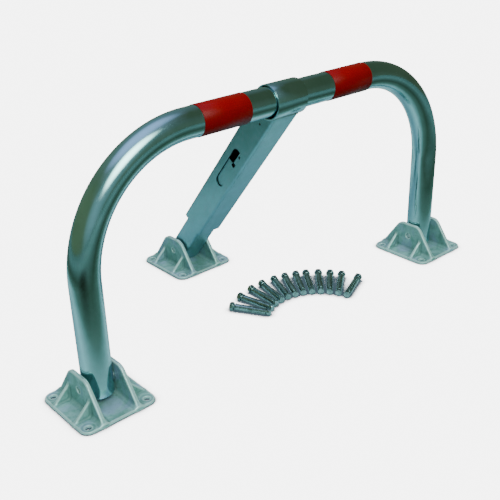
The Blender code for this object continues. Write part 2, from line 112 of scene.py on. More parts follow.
# %% [markdown]
# The camera stands in front and to the left, at about the height of a person's chest when they look
# down at the hoop. A look direction and a roll are turned into a rotation by hand, which is clearer
# than a constraint and leaves nothing live in the file.

# %% Camera
def aim_camera(place, yaw, pitch, roll, lens):
    """A camera from its place, its turn from +Y towards +X, its dip below level and its roll."""
    ahead = Vector((math.sin(yaw) * math.cos(pitch), math.cos(yaw) * math.cos(pitch), -math.sin(pitch)))
    level = Vector((math.cos(yaw), -math.sin(yaw), 0))
    above = level.cross(ahead)
    right = level * math.cos(roll) + above * math.sin(roll)
    above = above * math.cos(roll) - level * math.sin(roll)
    turn = Matrix((right, above, -ahead)).transposed()
    data = bpy.data.cameras.new("camera")
    data.lens = lens
    data.clip_start = 0.05
    camera = bpy.data.objects.new("camera", data)
    camera.matrix_world = Matrix.Translation(place) @ turn.to_4x4()
    bpy.context.scene.collection.objects.link(camera)
    bpy.context.scene.camera = camera
    return camera


EYE_PLACE = (-1.0664, -1.2999, 0.9029)
camera = aim_camera(EYE_PLACE, yaw=math.radians(40.87), pitch=math.radians(25.83),
                    roll=math.radians(-1.574), lens=57.2)
print("camera:", [round(value, 3) for value in camera.matrix_world.translation])


# %% [markdown]
# Both shaders and Geometry Nodes do sums with Math nodes. Wiring those one by one hides the formula,
# so a socket is wrapped in a small class whose operators add the nodes: `1 - mask` becomes a
# Subtract node. Every other node comes from one method, which takes the node's type, its settings
# and what its sockets hold.

# %% Sums with sockets
def socket_of(sockets, key):
    """A socket by its number, its identifier or its name."""
    if isinstance(key, int):
        return sockets[key]
    for socket in sockets:
        if socket.identifier == key:
            return socket
    return next(socket for socket in sockets if socket.name == key and socket.enabled)


def operator(operation, swap=False):
    """An operator of Signal: it adds one Math node."""
    def add_node(first, second):
        pair = (second, first) if swap else (first, second)
        return first.recipe.maths(operation, *pair)
    return add_node


class Signal:
    """An output socket that takes part in sums."""

    def __init__(self, recipe, socket):
        self.recipe = recipe
        self.socket = socket

    def other(self, key):
        """Another output of the same node."""
        return Signal(self.recipe, socket_of(self.socket.node.outputs, key))

    __add__, __radd__ = operator("ADD"), operator("ADD", True)
    __sub__, __rsub__ = operator("SUBTRACT"), operator("SUBTRACT", True)
    __mul__, __rmul__ = operator("MULTIPLY"), operator("MULTIPLY", True)
    __truediv__, __rtruediv__ = operator("DIVIDE"), operator("DIVIDE", True)

    def __neg__(self):
        return self * -1.0

    def __abs__(self):
        return self.recipe.maths("ABSOLUTE", self)


class Recipe:
    """Adds nodes to one tree."""

    def __init__(self, tree):
        self.tree = tree

    def fill(self, socket, value):
        """Link a signal to a socket, or set a constant on it."""
        if isinstance(value, Signal):
            self.tree.links.new(value.socket, socket)
        else:
            socket.default_value = value

    def node(self, kind, inputs=None, out=0, **settings):
        """Any node: its settings, then what its sockets hold; one output comes back."""
        made = self.tree.nodes.new(kind)
        for name, value in settings.items():
            if name == "stops":
                self.set_stops(made.color_ramp.elements, value)
            else:
                setattr(made, name, value)
        for key, value in (inputs or {}).items():
            self.fill(socket_of(made.inputs, key), value)
        return Signal(self, socket_of(made.outputs, out))

    @staticmethod
    def set_stops(elements, stops):
        """Place a colour ramp's stops: (position, colour) pairs."""
        while len(elements) < len(stops):
            elements.new(0.5)
        for element, (position, colour) in zip(elements, stops):
            element.position = position
            element.color = colour

    def ramp(self, value, *stops):
        """A colour for each part of a range of 0 to 1."""
        return self.node("ShaderNodeValToRGB", {0: value}, stops=stops)

    def split(self, vector):
        """The X, Y and Z of a vector."""
        x = self.node("ShaderNodeSeparateXYZ", {0: vector}, "X")
        return x, x.other("Y"), x.other("Z")

    def join(self, x=0.0, y=0.0, z=0.0):
        """A vector from its X, Y and Z."""
        return self.node("ShaderNodeCombineXYZ", {"X": x, "Y": y, "Z": z})

    def maths(self, operation, *values):
        """One Math node."""
        return self.node("ShaderNodeMath", dict(enumerate(values)), operation=operation)

    def smaller(self, first, second):
        return self.maths("MINIMUM", first, second)

    def larger(self, first, second):
        return self.maths("MAXIMUM", first, second)

    def length(self, first, second):
        """Length of the diagonal of two numbers."""
        return self.maths("SQRT", first * first + second * second)

    def between(self, value, low, high, to_low=0.0, to_high=1.0):
        """Map a range onto another, held at its ends."""
        return self.node("ShaderNodeMapRange", {"Value": value, "From Min": low, "From Max": high,
                                                "To Min": to_low, "To Max": to_high}, clamp=True)

    def mix(self, share, first, second):
        """Mix two colours."""
        return self.node("ShaderNodeMix", {"Factor_Float": share, "A_Color": first, "B_Color": second},
                         "Result_Color", data_type="RGBA")

    def lay_over(self, colour, mask, low, high, share, over):
        """Lay a colour over another where a mask is high, up to a share."""
        return self.mix(self.between(mask, low, high, 0.0, share), colour, over)


# %% [markdown]
# A finish is a material with one Principled shader. The helpers below are the ones that all the
# metal here needs: noise that can be stretched, and bumps from a height.

# %% A finish
def rgb(red, green, blue):
    """A colour with full opacity."""
    return (red, green, blue, 1.0)


class Finish(Recipe):
    """A material built around its Principled shader."""

    def __init__(self, name, fixed=None):
        self.material = bpy.data.materials.new(name)
        self.material.use_nodes = True
        super().__init__(self.material.node_tree)
        self.shader = self.tree.nodes["Principled BSDF"]
        self.shade(fixed or {})

    def shade(self, values):
        """Set or link the shader's own sockets."""
        for name, value in values.items():
            self.fill(self.shader.inputs[name], value)

    def stored(self, attribute, out="Vector"):
        """A value that the mesh carries."""
        return self.node("ShaderNodeAttribute", out=out, attribute_name=attribute)

    def place(self, stretch=(1.0, 1.0, 1.0), attribute=None):
        """Object coordinates, or a named attribute, stretched along each axis."""
        start = self.stored(attribute) if attribute else self.node("ShaderNodeTexCoord", out="Object")
        return self.node("ShaderNodeVectorMath", {0: start, 1: stretch}, operation="MULTIPLY")

    def noise(self, place, scale, detail=3.0, rough=0.55, distortion=0.0):
        """Soft cloudy noise, 0 to 1."""
        return self.node("ShaderNodeTexNoise", {"Vector": place, "Scale": scale, "Detail": detail,
                                                "Roughness": rough, "Distortion": distortion})

    def bump(self, height, depth, strength):
        """Turn a height of 0 to 1 into a normal; depth is in metres."""
        return self.node("ShaderNodeBump", {"Strength": strength, "Distance": depth, "Height": height},
                         "Normal")


# %% [markdown]
# Geometry Nodes trees are built the same way. A plan has named inputs for its sizes, and ends by
# making its instances real and giving them their finish, since the finished file keeps no instances.
# `grow` runs a plan once and keeps only the plain mesh.

# %% A plan for Geometry Nodes
SOCKETS = {float: "NodeSocketFloat", int: "NodeSocketInt", "material": "NodeSocketMaterial",
           "object": "NodeSocketObject"}


class Plan(Recipe):
    """A Geometry Nodes tree with named inputs."""

    def __init__(self, name):
        super().__init__(bpy.data.node_groups.new(name, "GeometryNodeTree"))
        self.tree.interface.new_socket("Geometry", in_out="INPUT", socket_type="NodeSocketGeometry")
        self.tree.interface.new_socket("Geometry", in_out="OUTPUT", socket_type="NodeSocketGeometry")
        self.given = self.tree.nodes.new("NodeGroupInput")

    def ask(self, name, kind=float):
        """A named input."""
        self.tree.interface.new_socket(name, in_out="INPUT", socket_type=SOCKETS[kind])
        return Signal(self, self.given.outputs[name])

    def start(self):
        """The geometry that the plan is given."""
        return Signal(self, self.given.outputs["Geometry"])

    def finish(self, geometry):
        """Make instances real, shade them, and give them the finish."""
        real = self.node("GeometryNodeRealizeInstances", {"Geometry": geometry})
        shaded = self.node("GeometryNodeSetShadeSmooth", {"Geometry": real, "Shade Smooth": True})
        finished = self.node("GeometryNodeSetMaterial",
                             {"Geometry": shaded, "Material": self.ask("Finish", "material")})
        end = self.tree.nodes.new("NodeGroupOutput")
        self.tree.links.new(finished.socket, end.inputs["Geometry"])
        return self


def link(name, mesh):
    """Put a mesh in the scene."""
    thing = bpy.data.objects.new(name, mesh)
    bpy.context.scene.collection.objects.link(thing)
    return thing


def settle(thing):
    """Replace an object's mesh and modifiers by the mesh that they give."""
    graph = bpy.context.evaluated_depsgraph_get()
    mesh = bpy.data.meshes.new_from_object(thing.evaluated_get(graph), preserve_all_data_layers=True,
                                           depsgraph=graph)
    thing.modifiers.clear()
    thing.data = mesh
    mesh.name = thing.name
    return thing


def grow(name, plan, values, mesh=None):
    """Run a plan once, on a mesh or on nothing, and keep the plain result."""
    thing = link(name, mesh or bpy.data.meshes.new(name))
    modifier = thing.modifiers.new(plan.tree.name, "NODES")
    modifier.node_group = plan.tree
    for item in plan.tree.interface.items_tree:
        if item.in_out == "INPUT" and item.name in values:
            modifier[item.identifier] = values[item.name]
    return settle(thing)


# %% [markdown]
# A few mesh helpers follow. An outline is a list of points, and `skin` joins outlines of equal length
# into a surface. `lathe` turns a profile round the X axis, `prism` pushes an outline along it, and
# `tube_of` makes a square tube with rounded corners.

# %% Outlines and skins
def rounded(points, radii, steps=8):
    """Round the corners of a closed outline; a radius of 0 keeps a corner."""
    outline = []
    for index, radius in enumerate(radii):
        corner = Vector(points[index])
        before = (Vector(points[index - 1]) - corner).normalized()
        after = (Vector(points[(index + 1) % len(points)]) - corner).normalized()
        if radius <= 0:
            outline.append(tuple(corner))
            continue
        half = before.angle(after) / 2
        centre = corner + (before + after).normalized() * (radius / math.sin(half))
        first = corner + before * (radius / math.tan(half)) - centre
        last = corner + after * (radius / math.tan(half)) - centre
        sweep = math.atan2(first.cross(last), first.dot(last))
        for step in range(steps + 1):
            outline.append(tuple(centre + Matrix.Rotation(sweep * step / steps, 2) @ first))
    return outline


def circle(radius, sides, centre=(0.0, 0.0)):
    """A circle as an even polygon."""
    turns = [2 * math.pi * side / sides for side in range(sides)]
    return [(centre[0] + radius * math.cos(t), centre[1] + radius * math.sin(t)) for t in turns]


def skin(name, rings, closed=False):
    """A skin over rings of equal length, capped at its ends or joined into a loop."""
    shape = bmesh.new()
    rows = [[shape.verts.new(point) for point in ring] for ring in rings]
    pairs = list(zip(rows, rows[1:])) + ([(rows[-1], rows[0])] if closed else [])
    for low, high in pairs:
        for side in range(len(low)):
            far = (side + 1) % len(low)
            shape.faces.new((low[side], low[far], high[far], high[side]))
    if not closed:
        shape.faces.new(reversed(rows[0]))
        shape.faces.new(rows[-1])
    bmesh.ops.recalc_face_normals(shape, faces=shape.faces)
    mesh = bpy.data.meshes.new(name)
    shape.to_mesh(mesh)
    shape.free()
    return mesh


def lathe(name, profile, sides=64, closed=False, centre=(0.0, 0.0, 0.0), bulge=None):
    """Turn (x, radius) pairs round the X axis; bulge adds to the radius at each angle."""
    rings = []
    for x, radius in profile:
        ring = []
        for side in range(sides):
            turn = 2 * math.pi * side / sides
            reach = radius + (bulge(turn, radius) if bulge else 0.0)
            ring.append((centre[0] + x, centre[1] + reach * math.cos(turn),
                         centre[2] + reach * math.sin(turn)))
        rings.append(ring)
    return skin(name, rings, closed)


def prism(name, outline, start, end):
    """Extrude an outline in Y and Z along X."""
    return skin(name, [[(x, y, z) for y, z in outline] for x in (start, end)])


def square_ring(low, high, inset, corner, steps=8):
    """Outline of a square tube's box, drawn in by an inset, with rounded corners."""
    right, back = (high[0] - low[0]) / 2 - inset, (high[1] - low[1]) / 2 - inset
    middle = (high[1] + low[1]) / 2
    box = [(right, middle - back), (right, middle + back), (-right, middle + back), (-right, middle - back)]
    return rounded(box, [corner] * 4, steps)


def tube_of(name, low, high, corner, wall):
    """A square tube along Z with rounded corners, from the corners of its box."""
    rings = []
    for inset, height in ((0.0, low[2]), (0.0, high[2]), (wall, high[2]), (wall, low[2])):
        rings.append([(x, y, height) for x, y in square_ring(low, high, inset, corner - inset)])
    return skin(name, rings, closed=True)


# %% [markdown]
# The next helpers finish a mesh. `carve` cuts with an exact Boolean, and `soften` bevels the edges that
# are left sharp and then weights the normals, so that flat faces stay flat beside their rounded
# corners. `dress` gives a finished piece its material and its body, and hides the nodes that it stands for.

# %% Cutting, easing and dressing
def carve(thing, cutters):
    """Cut meshes out of an object with exact Booleans."""
    for mesh in cutters:
        cutter = link(mesh.name, mesh)
        boolean = thing.modifiers.new("cut", "BOOLEAN")
        boolean.operation = "DIFFERENCE"
        boolean.solver = "EXACT"
        boolean.object = cutter
        settle(thing)
        bpy.data.objects.remove(cutter)
    return thing


def soften(thing, width, segments=2, angle=40.0):
    """Bevel the sharp edges and weight the normals by face area."""
    bevel = thing.modifiers.new("bevel", "BEVEL")
    bevel.width = width
    bevel.segments = segments
    bevel.limit_method = "ANGLE"
    bevel.angle_limit = math.radians(angle)
    bevel.use_clamp_overlap = True
    thing.data.shade_smooth()
    thing.modifiers.new("weight", "WEIGHTED_NORMAL").keep_sharp = True
    return settle(thing)


def dress(thing, finish, body, slot, *nodes):
    """Give a piece its finish and its body, and hide the nodes that it stands for; slot is not used."""
    thing.data.materials.clear()
    thing.data.materials.append(finish.material)
    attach(thing, body)
    if nodes:
        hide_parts(*nodes)
    print(f"{thing.name}: {len(thing.data.polygons)} faces on {body}")
    return thing


def add_values(mesh, name, values):
    """Store one number or one vector for each vertex."""
    kind = "FLOAT" if values.ndim == 1 else "FLOAT_VECTOR"
    field = mesh.attributes.new(name, kind, "POINT")
    field.data.foreach_set("value" if values.ndim == 1 else "vector", values.astype(np.float32).ravel())


def smooth(mesh, degrees):
    """Shade a mesh smoothly, but keep the edges that turn more than an angle."""
    mesh.shade_smooth()
    mesh.set_sharp_from_angle(angle=math.radians(degrees))
    return mesh


# %% [markdown]
# The metals come next. The hoop is plated steel tube: bright, slightly green-blue, and drawn
# lengthwise, so what little texture it has runs along the tube. Object coordinates can't follow a
# bend, so the tube carries an attribute called `lay` with the length along the tube and the offset
# across it. Stretching noise by that attribute makes the drawn lines, the faint wiping marks and
# the cloudy passivation colours that zinc plating shows.

# %% Plated steel
def plated_steel(name, attribute=None, tint=rgb(0.43, 0.65, 0.71), shade=rgb(0.34, 0.54, 0.57),
                 along=(6.0, 60.0, 60.0), gloss=(0.07, 0.15), slot_shade=None):
    """Zinc-plated steel with drawn lines and cloudy tints; the last argument places painted shade on the
    walls inside a slot.
    """
    finish = Finish(name, {"Metallic": 1.0})
    cloud = finish.noise(finish.place((1, 1, 1), attribute), 14.0, 4.0, 0.6, 0.6)
    fine_cloud = finish.noise(finish.place((1, 1, 1), attribute), 70.0, 5.0, 0.65)
    lines = finish.noise(finish.place(along, attribute), 12.0, 4.0, 0.7)
    hair = finish.noise(finish.place(tuple(4 * side for side in along), attribute), 20.0, 2.0, 0.5)
    colour = finish.mix(finish.between(cloud, 0.35, 0.68), tint, shade)
    colour = finish.lay_over(colour, fine_cloud, 0.48, 0.75, 0.35, rgb(0.47, 0.56, 0.66))
    colour = finish.lay_over(colour, lines, 0.5, 0.8, 0.25, rgb(0.30, 0.40, 0.38))
    rough = finish.between(fine_cloud, 0.3, 0.7, *gloss) + finish.between(lines, 0.4, 0.8, 0.0, 0.08)
    height = hair * 0.5 + fine_cloud * 0.5
    if slot_shade:
        side, back, _ = finish.split(finish.stored(attribute))
        skin_x, middle_y, reach_y = slot_shade
        # Painted shade: the walls inside the slot are darkened almost to black.
        inside = finish.between(abs(side), skin_x, skin_x - 0.6 * MM)
        inside *= finish.between(abs(back - middle_y), reach_y, reach_y - 1.0 * MM)
        colour = finish.mix(inside, colour, rgb(0.02, 0.03, 0.03))
        rough = rough + inside * 0.5
    finish.shade({"Base Color": colour, "Roughness": rough, "Normal": finish.bump(height, 0.00006, 0.35)})
    return finish


hoop_plating = plated_steel("hoop_plating", "lay")
collar_plating = plated_steel("collar_plating", None, along=(10.0, 50.0, 50.0))
print("plated steel: two recipes from one function")


# %% [markdown]
# The stay's tubes are rolled and welded strip with the same plating, a little duller. They lean, so
# their texture is laid along the stay: a `lay` attribute again, here simply the place in the stay's
# own directions.

# %% Satin steel for the stay
STAY_LOOK = {"tint": rgb(0.29, 0.51, 0.58), "shade": rgb(0.25, 0.45, 0.49), "along": (60.0, 60.0, 5.0),
             "gloss": (0.30, 0.42)}
stay_plating = plated_steel("stay_plating", "lay", **STAY_LOOK)


def small_steel(name, colour, dull, rough):
    """Plated small parts: even colour with stains and a worn, brighter grain."""
    finish = Finish(name, {"Metallic": 1.0})
    lay_over = finish.noise(finish.place(), 90.0, 4.0, 0.6, 0.4)
    grain = finish.noise(finish.place(), 900.0, 3.0, 0.6)
    mixed = finish.mix(finish.between(lay_over, 0.40, 0.66), colour, dull)
    gloss = finish.between(lay_over, 0.3, 0.7, rough, rough + 0.14)
    finish.shade({"Base Color": mixed, "Roughness": gloss, "Normal": finish.bump(grain, 0.00004, 0.4)})
    return finish


pin_steel = small_steel("pin_steel_finish", rgb(0.50, 0.56, 0.56), rgb(0.30, 0.36, 0.36), 0.28)
keeper_steel = small_steel("keeper_finish", rgb(0.80, 0.90, 0.90), rgb(0.60, 0.70, 0.70), 0.5)
anchor_steel = small_steel("anchor_plating", rgb(0.40, 0.52, 0.54), rgb(0.20, 0.27, 0.26), 0.20)
weld_metal = small_steel("weld_metal", rgb(0.36, 0.50, 0.50), rgb(0.22, 0.33, 0.33), 0.34)


# %% [markdown]
# The bases are aluminium castings. As-cast metal is matte and slightly rough, paler on the edges
# that hands and boxes have rubbed, and clouded with faint green and violet from the mould wash;
# its corners get painted shade. The castings carry a stored attribute, above 0.5 on ridges and
# below it in hollows, which steers the worn colour and gloss of ridges and the painted shade of hollows.

# %% Cast aluminium
def cast_metal(name):
    """As-cast aluminium: cloudy tints, paler worn ridges, painted shade in the hollows, a fine sand
    texture.
    """
    finish = Finish(name, {"Metallic": 0.40, "Specular IOR Level": 0.4})
    cloud = finish.noise(finish.place(), 34.0, 3.0, 0.55, 0.8)
    violet = finish.noise(finish.place((1.0, 1.3, 0.8)), 22.0, 3.0, 0.5, 0.5)
    sand = finish.noise(finish.place(), 900.0, 3.0, 0.6)
    pits = finish.noise(finish.place(), 240.0, 4.0, 0.7)
    worn = finish.stored("worn", "Fac")
    colour = finish.mix(finish.between(cloud, 0.36, 0.66), rgb(0.27, 0.46, 0.46), rgb(0.15, 0.31, 0.28))
    # The third entry pales the worn ridges; the last one paints shade into the hollows.
    for mask, low, high, share, over in ((violet, 0.48, 0.66, 0.65, rgb(0.30, 0.38, 0.56)),
                                         (pits, 0.54, 0.74, 0.50, rgb(0.12, 0.20, 0.18)),
                                         (worn, 0.52, 0.66, 0.65, rgb(0.56, 0.76, 0.74)),
                                         (worn, 0.49, 0.36, 0.80, rgb(0.10, 0.19, 0.18))):
        colour = finish.lay_over(colour, mask, low, high, share, over)
    rough = finish.between(pits, 0.3, 0.7, 0.42, 0.60) - finish.between(worn, 0.52, 0.66, 0.0, 0.14)
    height = sand * 0.4 + pits * 0.6
    finish.shade({"Base Color": colour, "Roughness": rough, "Normal": finish.bump(height, 0.0004, 0.30)})
    return finish


casting = cast_metal("cast_aluminium_finish")
print("casting finish ready")


# %% [markdown]
# The warning bands are red reflective film: a coloured layer over a grid of tiny sealed cells, under
# a clear face. Seen without a headlamp it is a deep satin red. The cells are a faint honeycomb in
# the roughness and the bump, and the film's own `lay` attribute carries them round the tube.

# %% Red reflective film
def red_film(name):
    """Deep red film with a faint cell grid."""
    finish = Finish(name, {"Metallic": 0.0, "Coat Roughness": 0.25, "Specular IOR Level": 0.12})
    place = finish.place((1, 1, 1), "lay")
    cells = finish.node("ShaderNodeTexVoronoi", {"Vector": place, "Scale": 260.0, "Randomness": 0.15},
                        feature="DISTANCE_TO_EDGE")
    rim = finish.between(cells, 0.0, 0.10)
    cloud = finish.noise(place, 40.0, 4.0, 0.6)
    colour = finish.mix(finish.between(cloud, 0.35, 0.70), rgb(0.21, 0.0001, 0.0004),
                        rgb(0.18, 0.0001, 0.0016))
    colour = finish.mix(rim, rgb(0.17, 0.0001, 0.0001), colour)
    rough = finish.between(cloud, 0.3, 0.7, 0.36, 0.48)
    coat = finish.between(cloud, 0.3, 0.7, 0.03, 0.08)
    finish.shade({"Base Color": colour, "Roughness": rough, "Coat Weight": coat,
                  "Normal": finish.bump(rim, 0.00002, 0.10)})
    return finish


film = red_film("red_reflective_film")
print("film finish ready")


# %% [markdown]
# The hoop is one tube bent twice. On a bench it would be drawn through a bender, which is what
# Curve to Mesh does: a four-point line gets its two corners filleted to the bend radius, and a
# circle runs along it. The wall is added afterwards with Solidify, inwards, and the rims of the two
# feet are rounded with a bevel, so the tube is open at its feet as the real one is.

# %% Bent tube
def bent_tube_plan():
    """A circle swept along a line whose two corners are filleted."""
    plan = Plan("bent tube")
    names = ("Half Spacing", "Top", "Foot", "Bend Radius", "Radius", "Depth")
    half, top, foot, bend, radius, depth = [plan.ask(name) for name in names]
    index = plan.node("GeometryNodeInputIndex")
    on_right = plan.maths("GREATER_THAN", index, 1.5)
    raised = plan.maths("LESS_THAN", abs(index - 1.5), 1.0)
    place = plan.join(half * (on_right * 2.0 - 1.0), depth, foot + (top - foot) * raised)
    points = plan.node("GeometryNodePoints", {"Count": 4, "Position": place})
    line = plan.node("GeometryNodePointsToCurves", {"Points": points})
    path = plan.node("GeometryNodeFilletCurve",
                     {"Curve": line, "Count": 40, "Radius": bend, "Limit Radius": True}, mode="POLY")
    ring = plan.node("GeometryNodeCurvePrimitiveCircle", {"Resolution": 112, "Radius": radius},
                     mode="RADIUS")
    tube = plan.node("GeometryNodeCurveToMesh", {"Curve": path, "Profile Curve": ring, "Fill Caps": False})
    return plan.finish(tube)


def tube_lay(places):
    """Length along the hoop from its middle, the offset away from its middle, and the offset in Y."""
    x, y, z = places.T
    out_x, out_z = np.abs(x) - STRAIGHT_X, z - (TOP_Z - BEND_RADIUS)
    turn = np.arctan2(np.maximum(out_z, 0), np.maximum(out_x, 1e-9))
    in_leg, in_top = out_z < 0, out_x < 0
    bend_length = BEND_RADIUS * (math.pi / 2 - turn)
    along = np.where(in_top, np.abs(x), np.where(in_leg, STRAIGHT_X + BEND_RADIUS * math.pi / 2 - out_z,
                                                 STRAIGHT_X + bend_length))
    offset = np.where(in_top, z - TOP_Z, np.where(in_leg, np.abs(x) - LEG_X,
                                                  np.hypot(out_x, out_z) - BEND_RADIUS))
    return np.column_stack((np.sign(x) * along, offset, y - HOOP_Y))


HOOP_WALL = 3.0 * MM
FOOT_ROUNDING = 1.3 * MM
hoop = grow("bent_hoop", bent_tube_plan(),
            {"Half Spacing": LEG_X, "Top": TOP_Z, "Foot": FOOT_Z, "Bend Radius": BEND_RADIUS,
             "Radius": TUBE_RADIUS, "Depth": HOOP_Y, "Finish": hoop_plating.material})
wall = hoop.modifiers.new("wall", "SOLIDIFY")
wall.thickness = HOOP_WALL
wall.offset = -1.0
soften(hoop, FOOT_ROUNDING, segments=4, angle=60.0)
add_values(hoop.data, "lay", tube_lay(vertices_of(hoop.data)))
dress(hoop, hoop_plating, "hoop", "galvanised_steel", "hoop_tube")


# %% [markdown]
# The bands are sleeves of film wrapped once round the tube, with a lap where the ends meet. A
# lathe profile makes the sleeve with its edges eased, and a small rise over a few degrees at the
# underside makes the lap.

# %% Reflective bands
FILM_EDGE = 0.25 * MM
FILM_GLUE = 0.05 * MM
LAP_RISE = 0.25 * MM
LAP_MIDDLE = math.radians(250)
LAP_HALF = math.radians(13)


def film_lap(turn, _radius):
    """Extra radius where the film's ends overlap."""
    return LAP_RISE if abs(turn - LAP_MIDDLE) < LAP_HALF else 0.0


def film_band(node):
    """A sleeve of film at a node's place."""
    half, inside, outside = half_of(node, X), TUBE_RADIUS + FILM_GLUE, half_of(node, Z)
    profile = [(-half, inside), (-half, outside - FILM_EDGE), (-half + FILM_EDGE, outside),
               (half - FILM_EDGE, outside), (half, outside - FILM_EDGE), (half, inside)]
    mesh = lathe(node.replace("reflective_band", "film_band"), profile, 120, closed=True,
                 centre=middle_of(node), bulge=film_lap)
    add_values(smooth(mesh, 50), "lay", tube_lay(vertices_of(mesh)))
    return dress(link(mesh.name, mesh), film, "hoop", "red_reflective", node)


for node in ("left_reflective_band", "right_reflective_band"):
    film_band(node)


# %% [markdown]
# A casting is all blends: where two walls meet there is a fillet, and every edge is eased so that it
# leaves the mould. Bevels struggle with that many meeting edges. A distance field doesn't: each wall
# is a formula for how far a point is from it, a rounded union of two formulas is a fillet, and a
# rounded cut is an eased edge. The plan evaluates the field on a fine grid with Volume Cube and turns
# its zero level into a mesh.

# %% Distance fields
class Casting(Plan):
    """A Geometry Nodes plan with the rounded unions and cuts of a casting."""

    def union(self, first, second, fillet):
        """Both shapes, with a fillet where they meet."""
        corner = self.length(self.larger(fillet - first, 0.0), self.larger(fillet - second, 0.0))
        return self.larger(self.smaller(first, second), fillet) - corner

    def common(self, first, second, easing):
        """What the shapes share, with the edge between them eased."""
        corner = self.length(self.larger(first + easing, 0.0), self.larger(second + easing, 0.0))
        return self.smaller(self.larger(first, second), -easing) + corner

    def cut(self, shape, hole, easing):
        """A shape less a hole, with the hole's edge eased."""
        return self.common(shape, -hole, easing)


# %% [markdown]
# These are the casting's sizes. The ears narrow from the plate's edges to a rounded crown, ribs hold
# them from outside, and each corner of the plate has a hole with a flat spot for its washer. The plate,
# the crown's height and the pivot are read from the frame.

# %% Sizes of a base
PLATE_HALF = half_of("rear_base", X)
EAR_TOP_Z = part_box("rear_base")[1].z
PIVOT_Z = STAY_FOOT.z
PLATE_THICK = 6.0 * MM
PLATE_CORNER = 19.0 * MM
EAR_MIDDLE = 37.0 * MM
EAR_HALF = 4.0 * MM
EAR_FOOT = PLATE_HALF - 2.0 * MM
EAR_CROWN = 29.0 * MM
EAR_DRAFT = 0.012
RIB_TOP_Z = 41.0 * MM
RIB_TIP = PLATE_HALF - 3.0 * MM
RIB_MIDDLE = 37.0 * MM
RIB_HALF = 2.8 * MM
RIB_DRAFT = 0.022
HOLE_OUT = PLATE_HALF - 16.5 * MM
HOLE_RADIUS = 6.0 * MM
SPOT_RADIUS = 13.0 * MM
SPOT_FLOOR = 5.2 * MM
PIN_RADIUS = 6.0 * MM
BORE_RADIUS = PIN_RADIUS + 0.3 * MM
EAR_FILLET = 9.0 * MM
RIB_FILLET = 4.5 * MM
EASED = 1.6 * MM
HOLE_EASED = 0.7 * MM
GRID_STEP = 1.2 * MM


# %% [markdown]
# One corner of a base is enough, because the absolute value of a place mirrors it to the other three.
# The field is built in the order that a pattern maker would glue up the pattern: plate, ears, ribs,
# then the holes. Only the shoulder of the ears differs between the front bases and the rear one.

# %% Field of a base
def slope(plan, out, up, foot, top):
    """Distance from a flank that runs from its foot to its top; each end is (out, up)."""
    run = Vector((top[0] - foot[0], top[1] - foot[1])).normalized()
    return (out - foot[0]) * run.y - (up - foot[1]) * run.x


def base_plan():
    """Plate, two ears, four ribs, four spot-faced holes and the pivot bore as one field."""
    plan = Casting("base casting")
    shoulder = plan.ask("Shoulder")
    x, y, up = plan.split(plan.node("GeometryNodeInputPosition"))
    across, along = abs(x), abs(y)

    out_x, out_y = across - (PLATE_HALF - PLATE_CORNER), along - (PLATE_HALF - PLATE_CORNER)
    outline = (plan.length(plan.larger(out_x, 0.0), plan.larger(out_y, 0.0))
               + plan.smaller(plan.larger(out_x, out_y), 0.0) - PLATE_CORNER)
    plate = plan.common(outline, abs(up - PLATE_THICK / 2) - PLATE_THICK / 2, EASED)

    flank = slope(plan, along, up, (EAR_FOOT, PLATE_THICK), (EAR_CROWN, EAR_TOP_Z))
    profile = plan.common(flank, up - EAR_TOP_Z, shoulder)
    outer_face = across - EAR_MIDDLE - EAR_HALF - (EAR_TOP_Z - up) * EAR_DRAFT
    wall = plan.larger(EAR_MIDDLE - EAR_HALF - across, outer_face)
    ear = plan.common(profile, wall, EASED)

    brow = slope(plan, across, up, (RIB_TIP, PLATE_THICK), (EAR_MIDDLE + EAR_HALF, RIB_TOP_Z))
    cheek = abs(along - RIB_MIDDLE) - RIB_HALF - (RIB_TOP_Z - up) * RIB_DRAFT
    rib = plan.larger(plan.common(brow, cheek, EASED), EAR_MIDDLE - across)

    body = plan.union(plan.union(plate, ear, EAR_FILLET), rib, RIB_FILLET)
    hole = plan.length(across - HOLE_OUT, along - HOLE_OUT)
    body = plan.cut(body, plan.larger(hole - SPOT_RADIUS, SPOT_FLOOR - up), HOLE_EASED / 2)
    body = plan.cut(body, hole - HOLE_RADIUS, HOLE_EASED)
    body = plan.cut(body, plan.length(along, up - PIVOT_Z) - BORE_RADIUS, HOLE_EASED)
    body = plan.larger(plan.common(body, outline, EASED), -up)

    reach = PLATE_HALF + 2 * GRID_STEP
    low, high = (-reach, -reach, -2 * GRID_STEP), (reach, reach, EAR_TOP_Z + 2 * GRID_STEP)
    counts = [round((b - a) / GRID_STEP) for a, b in zip(low, high)]
    grid = plan.node("GeometryNodeVolumeCube",
                     {"Density": 0.5 - body / GRID_STEP, "Background": 0.0, "Min": low, "Max": high,
                      "Resolution X": counts[0], "Resolution Y": counts[1], "Resolution Z": counts[2]})
    return plan.finish(plan.node("GeometryNodeVolumeToMesh",
                                 {"Volume": grid, "Threshold": 0.5, "Adaptivity": 0.0}))


# %% [markdown]
# Wear shows on ridges first, and shade gathers in hollows. How far each point stands out from its
# neighbours, smoothed a few times, is stored on the mesh for the finish to read: it pales the worn
# ridges and paints shade into the hollows. Then the three bases are made.

# %% Wear and painted shade, and the three bases
WEAR_AND_SHADE_DEPTH = 0.35 * MM


